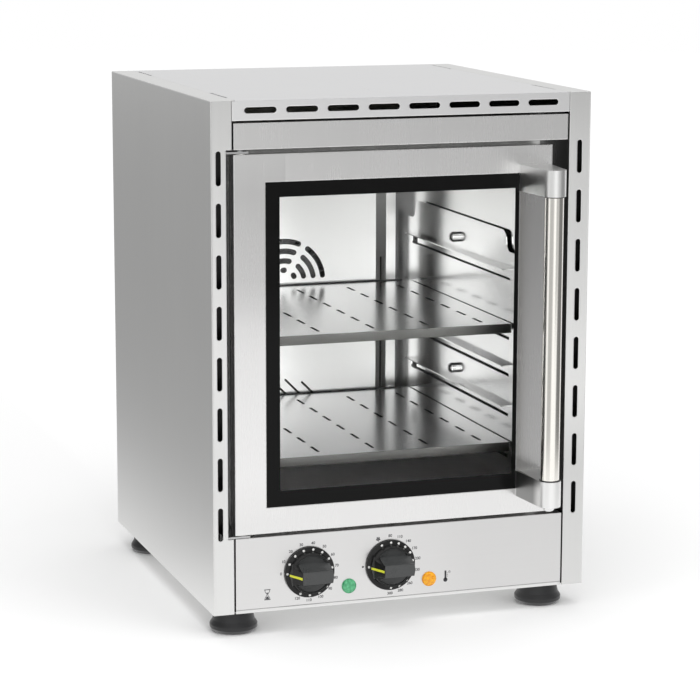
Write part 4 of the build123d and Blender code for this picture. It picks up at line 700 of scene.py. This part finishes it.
def knobs():
    """Both knobs: the turned body, the grip with its dish in a paler copy of the plastic as painted light, the
    ramp in the darker copy as painted shade, the pointer and the dots.
    """
    dot_ring, dot, dot_height = 0.0249, 0.00132, 0.00012
    timer_stops = [OFF - TIMER_STEP * i for i in range(TIMER_MARKS)]
    heat_stops = [OFF, FAN_ONLY, *HEAT_MARKS.values()]
    bar = np.concatenate([np.linspace(GRIP_NOSE, 17.8, 23), np.linspace(18.3, GRIP_TAIL, 9)])
    ramp = np.linspace(-GRIP_TIP, GRIP_NOSE, 16)
    for name, stops in (("timer", timer_stops), ("thermostat", heat_stops)):
        node, body = name + "_knob", name + "_dial"
        mid, back = centre(node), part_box(node)[1].y
        at = (mid.x, back, mid.z)
        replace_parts(piece(name + "_knob_crown", [knob_body(at)], body, skirt_plastic,
                          28.0), node)
        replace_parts(piece(name + "_knob_grip", [knob_grip(at, bar), knob_dish(at)], body, grip_plastic_lit_copy,
                          28.0), node)
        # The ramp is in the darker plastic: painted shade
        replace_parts(piece(name + "_knob_ramp", [knob_grip(at, ramp)], body, skirt_plastic,
                          28.0), node)
        piece(name + "_knob_pointer", [knob_pointer(at)], body, pointer_yellow)
        places = [around(mid, dot_ring, a) for a in stops]
        piece(name + "_knob_dots", [spot(x, back - SKIRT_TOP * MM, z, dot, dot_height) for x, z in places],
              body, pale_ink)


def dial_marks():
    """Numbers round both knobs, an off dot and a fan mark, on the control panel's face. The fan's five blades
    are strokes along spirals."""
    timer_ring, heat_ring, off_ring, fan_ring, size = 0.0312, 0.0318, 0.0308, 0.0322, 0.0042
    timer, heat = centre("timer_knob"), centre("thermostat_knob")
    entries = [(str(10 * i), *around(timer, timer_ring, OFF - TIMER_STEP * i)) for i in range(TIMER_MARKS)]
    entries += [(str(t), *around(heat, heat_ring, a)) for t, a in HEAT_MARKS.items()]
    words("dial_numbers", entries, size, PANEL_Y - 0.00002)
    off_x, off_z = around(heat, off_ring, OFF)
    fan_x, fan_z = around(heat, fan_ring, FAN_ONLY)
    parts = [spot(off_x, PANEL_Y, off_z, 0.0011, INK), spot(fan_x, PANEL_Y, fan_z, 0.0006, INK)]
    blades, turn = 5, 70
    for k in range(blades):
        a = np.radians(360 / blades * k + np.linspace(0, turn, 8))
        r = np.linspace(0.0007, 0.0023, 8)
        blade = np.stack([fan_x + r * np.cos(a), fan_z + r * np.sin(a)], -1)
        parts.append(band(blade, 0.0010, INK_FRONT, INK_BACK))
    piece("dial_marks", parts, "case", ink)


def pictograms():
    """A sand glass beside the timer and a thermometer beside the orange lamp: strokes and spots of ink."""
    x, z = -0.1513, 0.0433
    half, waist, end, shoulder, stroke, soft = 0.0026, 0.0004, 0.0052, 0.0036, 0.0006, 0.0012
    cap_half, cap_height, cap_stroke = 0.0034, 0.0054, 0.0008
    side = np.array([(half, end), (half, shoulder), (waist, waist), (waist, -waist), (half, -shoulder),
                     (half, -end)])
    parts = [band(rounded(side * [s, 1] + [x, z], soft), stroke, INK_FRONT, INK_BACK) for s in (-1, 1)]
    parts += [band([(x - cap_half, z + h), (x + cap_half, z + h)], cap_stroke, INK_FRONT, INK_BACK)
              for h in (-cap_height, cap_height)]
    parts.append(plate([(x - 0.0019, z - 0.0048), (x + 0.0019, z - 0.0048), (x + 0.0011, z - 0.0026),
                        (x, z - 0.0018), (x - 0.0011, z - 0.0026)], INK_FRONT, INK_BACK))
    parts.append(plate([(x - 0.0010, z + 0.0022), (x, z + 0.0006), (x + 0.0010, z + 0.0022)],
                       INK_FRONT, INK_BACK))
    piece("timer_pictogram", parts, "case", ink)
    x, z = 0.0495, 0.0465
    bulb, stem, thin = 0.0024, 0.0021, 0.0005
    parts = [spot(x, PANEL_Y, z - 0.0042, bulb, INK),
             band([(x, z - 0.0036), (x, z + 0.0060)], stem, INK_FRONT, INK_BACK),
             band(circle(x + 0.0046, z + 0.0044, 0.0009, 16, 0, 350), thin, INK_FRONT, INK_BACK)]
    parts += [band([(x + 0.0015, z + h), (x + 0.0028, z + h)], thin, INK_FRONT, INK_BACK)
              for h in (-0.0004, 0.0014, 0.0032)]
    piece("heat_pictogram", parts, "case", ink)


def lamps():
    """The lenses of both lamps and the rims round them, each rim a small rounded profile turned round."""
    edge, rib, fit = 0.0012, 0.00022, 0.93
    for colour, finish, ribs in (("green", green_lens, 14), ("orange", orange_lens, 9)):
        node = colour + "_lamp"
        low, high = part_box(node)
        at = (centre(node).x, PANEL_Y, centre(node).z)
        radius, proud = (high.x - low.x) / 2, PANEL_Y - low.y
        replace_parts(piece(colour + "_lamp_lens", [lens(at, radius * fit, edge, proud, ribs, rib)], "case",
                          finish, 45.0), node)
        ring = [(0.90, -0.001), (1, -0.001), (1, 0.0009), (0.985, 0.0013), (0.95, 0.0014), (0.92, 0.0012),
                (0.90, 0.0008), (0.90, -0.001)]
        piece(colour + "_lamp_rim", [turned(np.array(ring) * (radius, 1), at, (0, -1, 0), 72)], "case",
              finish)


def door_dressing():
    """The black print round the clear glass, a frame in front of it whose outer edge keeps clear of the door's
    window, then profiles turned about upright axes: the dark joints between the handle's tube and its
    brackets, and the lower bracket's small foot, a neck painted dark as the shadow above the button, and a
    bright button."""
    hidden, left, right, bottom, top = 0.00852, 0.0239, 0.0131, 0.0255, 0.0244
    low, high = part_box("outer_glass")
    outer = (low.x + hidden, high.x - hidden, low.z + hidden, high.z - hidden)
    inner = (low.x + left, high.x - right, low.z + bottom, high.z - top)
    piece("black_glass_border", [flat_ring(outer, inner, low.y - 0.00006, low.y - 0.00001)], "door",
          print_black)
    low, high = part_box("handle_tube")
    mid, radius = (low + high) / 2, (high.x - low.x) / 2
    joint = np.array([(-0.0002, 0), (0.0008, 0), (0.0009, 0.0002), (0.0009, 0.0008), (0.0006, 0.0011),
                      (-0.0002, 0.0011), (-0.0002, 0)])
    ends = ((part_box("handle_bracket_bottom")[1].z, 1), (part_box("handle_bracket_top")[0].z, -1))
    parts = [turned(joint * (1, way) + (radius, 0), (mid.x, mid.y, z), (0, 0, 1), 64) for z, way in ends]
    piece("handle_joint_rings", parts, "door", spacer_black)
    foot = (mid.x, mid.y + 0.002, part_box("handle_bracket_bottom")[0].z)
    # The neck is painted dark: painted shadow above the button
    neck = [(0, -0.0012), (0.0052, -0.0012), (0.0052, 0.0004), (0, 0.0004)]
    piece("handle_foot_shadow_neck", [turned(neck, foot, (0, 0, 1), 32)], "door", spacer_black)
    button = [(0, -0.0062), (0.0030, -0.0060), (0.0052, -0.0050), (0.0062, -0.0034), (0.0062, -0.0016),
              (0.0056, -0.0011), (0, -0.0011)]
    piece("handle_foot_button", [turned(button, foot, (0, 0, 1), 48)], "door", bright_steel)


def slot_collar(x, y, length, width, z0, z1):
    """The turned-down edge of a round-ended slot that runs along Y: four loops of one outline, the outer and
    the inner one at the bottom and the top."""
    wall, count = 0.0003, 9
    a = np.linspace(0, np.pi, count)
    ends = np.concatenate([np.stack([np.cos(a), np.sin(a)], -1), np.stack([-np.cos(a), -np.sin(a)], -1)])
    shift = np.repeat([1.0, -1.0], count) * (length - width) / 2
    outer, inner = width / 2, width / 2 - wall
    loops = [np.stack([x + r * ends[:, 0], y + shift + r * ends[:, 1], np.full(2 * count, z)], -1)
             for r, z in ((outer, z0), (outer, z1), (inner, z1), (inner, z0), (outer, z0))]
    return np.concatenate(loops), grid_quads(len(loops), 2 * count, True)


def spread(start, end, count, length):
    """Middles of count equal lengths spaced evenly from start to end."""
    return np.linspace(start + length / 2, end - length / 2, count)


def shelf_dressing():
    """A dark folded hem over each shelf's front lip, a strip along its rear edge painted near black as the
    shadow there, and edges in its slots painted near black as shade.
    """
    width, length, side, front_end, rear_end = 0.0036, 0.027, 0.0275, 0.0184, 0.0326
    columns, rows = 5, 6
    for name, body in (("upper", "shelf_upper"), ("lower", "shelf_lower")):
        low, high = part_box(name + "_shelf")
        front = round_rectangle(low.y - 0.0009, low.y + 0.0003, low.z - 0.0001, high.z + 0.0002, 0.0005)
        piece(name + "_shelf_hem", [strip_x(low.x + 0.0005, high.x - 0.0005, front)], body, hem_steel)
        rear = round_rectangle(high.y - 0.0010, high.y - 0.0001, high.z - 0.0002, high.z + 0.0016, 0.0004)
        # The rear strip is painted near black as the shadow along the shelf's rear edge
        piece(name + "_shelf_rear_shadow_strip", [strip_x(low.x + 0.010, high.x - 0.010, rear)], body, slot_shade_steel)
        # The slot edges are painted near black as the shade inside the slots
        slots = [slot_collar(x, y, length, width, high.z - 0.0042, high.z + 0.00005)
                 for x in spread(low.x + side - width / 2, high.x - side + width / 2, columns, width)
                 for y in spread(low.y + front_end, high.y - rear_end, rows, length)]
        piece(name + "_shelf_slot_edges", slots, body, slot_shade_steel)


def rack_nut_balls():
    """A bright round cap over each rack nut: an arc of 6 mm radius, its middle 3.6 mm behind the nut's face,
    turned about the nut's axis. The inner faces of the nuts on both sides are read from the node's mesh."""
    nut_radius, cap_radius, behind = 0.0058, 0.0060, 0.0036
    low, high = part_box("rack_nuts")
    mesh = NODES["rack_nuts"].data
    points = np.empty(3 * len(mesh.vertices))
    mesh.vertices.foreach_get("co", points)
    across = points[::3]
    middle = (low.x + high.x) / 2
    faces = (across[across < middle].max(), across[across > middle].min())
    a = np.radians(np.linspace(-35, 90, 19))
    arc = np.stack([cap_radius * np.cos(a), cap_radius * np.sin(a) - behind], -1)
    profile = np.concatenate([[[0.0, arc[0, 1]]], arc[:-1], [[0.0, arc[-1, 1]]]])
    balls = [turned(profile, (x, (low.y + high.y) / 2, z), (way, 0, 0), 40)
             for x, way in zip(faces, (1, -1)) for z in (low.z + nut_radius, high.z - nut_radius)]
    piece("rack_nut_balls", balls, "case", bright_steel, 60.0)


def wool_batts():
    """The wool round the chamber, under it and behind it, each slab kept inside its solid's space."""
    thick, gap, sheet, beside = 0.0195, 0.0006, 0.022, 0.004

    def room(node):
        low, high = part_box(node)
        return np.array(low) + gap, np.array(high) - gap
    lo, hi = room("insulation_wrap")
    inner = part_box("insulation_wrap")[1].z - sheet
    parts = [batt(lo, (lo[0] + thick, hi[1], inner), 0.0022, 1.0),
             batt((hi[0] - thick, lo[1], lo[2]), (hi[0], hi[1], inner), 0.0022, 2.0),
             batt((lo[0], lo[1], hi[2] - thick), hi, 0.0022, 3.0)]
    piece("side_and_top_wool", parts, "case", wool, 60.0)
    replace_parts(bpy.data.objects["side_and_top_wool"], "insulation_wrap")
    parts = [batt(*room("insulation_bottom"), 0.0016, 4.0)]
    piece("bottom_wool", parts, "case", wool, 60.0)
    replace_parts(bpy.data.objects["bottom_wool"], "insulation_bottom")
    lo, hi = room("insulation_rear")
    plate_low, plate_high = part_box("motor_bracket")
    x0, x1 = plate_low.x - beside, plate_high.x + beside
    z0, z1 = plate_low.z - beside, plate_high.z + beside
    parts = [batt(lo, (x0, hi[1], hi[2]), 0.002, 5.0), batt((x1, lo[1], lo[2]), hi, 0.002, 6.0),
             batt((x0, lo[1], lo[2]), (x1, hi[1], z0), 0.002, 7.0),
             batt((x0, lo[1], z1), (x1, hi[1], hi[2]), 0.002, 8.0)]
    piece("rear_wool", parts, "case", wool, 60.0)
    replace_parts(bpy.data.objects["rear_wool"], "insulation_rear")


def rear_dressing():
    """Cross-slotted screw heads over the plain ones on the back, and the gland's ribbed cap."""
    radius, height, aside, levels, across, up = 0.0040, 0.0024, 0.2025, (0.065, 0.295, 0.525), 0.090, 0.056
    heads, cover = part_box("rear_panel")[1].y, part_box("motor_cover")[0].y + 0.001
    fan = centre("fan_impeller")
    places = [(side * aside, heads, z) for side in (-1, 1) for z in levels]
    places += [(fan.x + x * across, cover, fan.z + z * up) for x in (-1, 1) for z in (-1, 1)]
    piece("rear_screw_heads", [screw_cap(*place, radius, height) for place in places], "case", bright_steel,
          25.0)
    low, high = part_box("cable_gland")
    mid = (low + high) / 2
    r = (high.x - low.x) / 2
    bore, ribs, rib = 0.0047, 18, 0.05
    profile = [(bore, 0.0), (r * 0.98, 0.0), (r, 0.0006), (r, 0.0062), (r * 0.93, 0.0078), (r * 0.72, 0.0096),
               (0.0056, 0.0104), (bore, 0.0100), (bore, 0.0)]
    cap = turned(profile, (mid.x, high.y - 0.0106, mid.z), (0, 1, 0), 96,
                 lambda a, h: 1 + rib * (np.cos(ribs * a) > 0) * ((h > 0.0003) & (h < 0.007)))
    piece("gland_cap", [cap], "case", gland_plastic)


knobs()
dial_marks()
pictograms()
lamps()
door_dressing()
shelf_dressing()
rack_nut_balls()
wool_batts()
rear_dressing()


# Camera, light, floor. Tones are shares of white. A lobe or a sector starts at one value of the dot product
# with its direction and is full at another

def camera(scene):
    """The camera, placed and turned for the photograph's view."""
    lens_data = bpy.data.cameras.new("camera")
    lens_data.lens = 131.5237
    lens_data.sensor_width = 36.0
    holder = bpy.data.objects.new("camera", lens_data)
    holder.location = (-0.90635, -2.70501, 0.78811)
    holder.rotation_euler = [math.radians(a) for a in (79.5225, -0.1458, -18.7051)]
    scene.collection.objects.link(holder)
    scene.camera = holder


def rays(g):
    """A mask of what the camera sees, straight or through the glass, and a mask of reflections."""
    ray = g.add("ShaderNodeLightPath").outputs
    return g.math("MAXIMUM", ray["Is Camera Ray"], ray["Is Transmission Ray"]), ray["Is Glossy Ray"]


def sky(scene):
    """White all round for the camera. For reflections and light it is base grey, and brighter by rise in
    three smooth lobes: behind the oven to the right, beside the camera to the left, and overhead."""
    base, rise, behind_share = 0.42, 0.62, 0.62
    world = bpy.data.worlds.new("studio")
    scene.world = world
    world.use_nodes = True
    world.node_tree.nodes.clear()
    g = Graph(world.node_tree)
    way = g.add("ShaderNodeTexCoord").outputs["Generated"]

    def lobe(direction, start, full):
        dot = g.dot(way, Vector(direction).normalized())
        return g.add("ShaderNodeMapRange", {"Value": dot, "From Min": start, "From Max": full},
                     interpolation_type="SMOOTHSTEP").outputs[0]
    behind = g.math("MULTIPLY", lobe((0.55, 0.83, 0.15), 0.35, 0.75), behind_share)
    beside = lobe((-0.47, -0.88, 0.05), 0.66, 0.84)
    overhead = lobe((0, 0, 1), 0.55, 0.9)
    bright = g.math("MAXIMUM", g.math("MAXIMUM", beside, behind), overhead)
    level = g.math("MAXIMUM", g.math("MULTIPLY_ADD", bright, rise, base), rays(g)[0])
    light = g.add("ShaderNodeBackground", {"Color": g.grey(level), "Strength": 1.0})
    out = g.add("ShaderNodeOutputWorld")
    g.link(light.outputs[0], out.inputs[0])


def pale_floor(scene):
    """A pale floor, a flat disc. Near the oven it takes shade, and from near to far it turns plain white. In
    reflections it has its own tone: full, less a part to the left of the oven, a strip far ahead of it, and
    two wide sectors that start a little away from the handle's tube."""
    near, far = 0.45, 1.1
    full, left_part, ahead_part, least = 1.04, 0.66, 0.52, 0.15
    tube, tube_near, tube_far = centre("handle_tube") * Vector((1, 1, 0)), 0.65, 0.90
    sectors = (((0.95, -0.31, 0), 0.74, 0.90, 0.85), ((-0.75, -0.66, 0), 0.86, 0.95, 0.55))
    points, quads = turned([(0, 0), (1.5, 0), (4, 0), (9, 0)], (0, 0, 0), (0, 0, 1), 96)
    sheet = bpy.data.meshes.new("floor")
    sheet.from_pydata(points.tolist(), [], quads[:, ::-1].tolist())
    floor = bpy.data.objects.new("floor", sheet)
    scene.collection.objects.link(floor)
    made = bpy.data.materials.new("pale_floor")
    made.use_nodes = True
    made.node_tree.nodes.clear()
    g = Graph(made.node_tree)
    point = g.add("ShaderNodeTexCoord").outputs["Object"]
    x, y = g.add("ShaderNodeSeparateXYZ", {0: point}).outputs[:2]
    left = g.math("MULTIPLY", g.span(x, -0.15, -0.45), g.span(y, -0.25, 0.15))
    ahead = g.math("MULTIPLY", g.span(y, -1.9, -2.3), g.span(x, 0.35, 0.50, 0.0, ahead_part))
    from_tube = g.vector("SUBTRACT", point, tube)
    reach = g.span(g.length(from_tube), tube_near, tube_far)
    direction = g.vector("NORMALIZE", from_tube)
    darker = ahead
    for way, start, end, part in sectors:
        sector = g.math("MULTIPLY", g.span(g.dot(direction, way), start, end, 0.0, part), reach)
        darker = g.math("MAXIMUM", darker, sector)
    shine = g.math("SUBTRACT", g.math("MULTIPLY_ADD", left, -left_part, full), darker)
    seen, reflected = rays(g)
    tone = g.math("MAXIMUM", g.math("MAXIMUM", shine, least), seen)
    lit = g.add("ShaderNodeBsdfDiffuse", {"Color": (0.88, 0.88, 0.88, 1)})
    bare = g.add("ShaderNodeEmission", {"Color": g.grey(tone), "Strength": 1.0})
    away = g.math("MULTIPLY", seen, g.span(g.length(point), near, far))
    both = g.add("ShaderNodeMixShader", {0: g.math("MAXIMUM", away, reflected), 1: lit.outputs[0],
                                         2: bare.outputs[0]})
    out = g.add("ShaderNodeOutputMaterial")
    g.link(both.outputs[0], out.inputs[0])
    floor.data.materials.append(made)


def softbox(scene, name, at, aim, size, watts, diffuse=True):
    """A rectangular lamp at one point, turned toward another. It isn't seen in reflections."""
    light = bpy.data.lights.new(name, "AREA")
    light.shape = "RECTANGLE"
    light.size, light.size_y = size
    light.energy = watts
    made = bpy.data.objects.new(name, light)
    made.location = at
    made.rotation_euler = (Vector(aim) - Vector(at)).to_track_quat("-Z", "Y").to_euler()
    made.visible_glossy = False
    made.visible_diffuse = diffuse
    scene.collection.objects.link(made)


def studio():
    """Camera, world, floor and three softboxes. Only rays that have passed the glass see the window
    softbox."""
    scene = bpy.context.scene
    scene.view_settings.view_transform = "Standard"
    camera(scene)
    sky(scene)
    pale_floor(scene)
    softbox(scene, "overhead_softbox", (-0.4, -0.6, 2.6), (0, 0, 0.2), (2.4, 2.4), 34)
    softbox(scene, "front_softbox", (1.5, -2.3, 1.3), (0, 0, 0.3), (1.6, 1.6), 22)
    softbox(scene, "window_softbox", (0.0, -2.7, 1.0), (0, 0, 0.3), (3.2, 1.4), 20, diffuse=False)


studio()
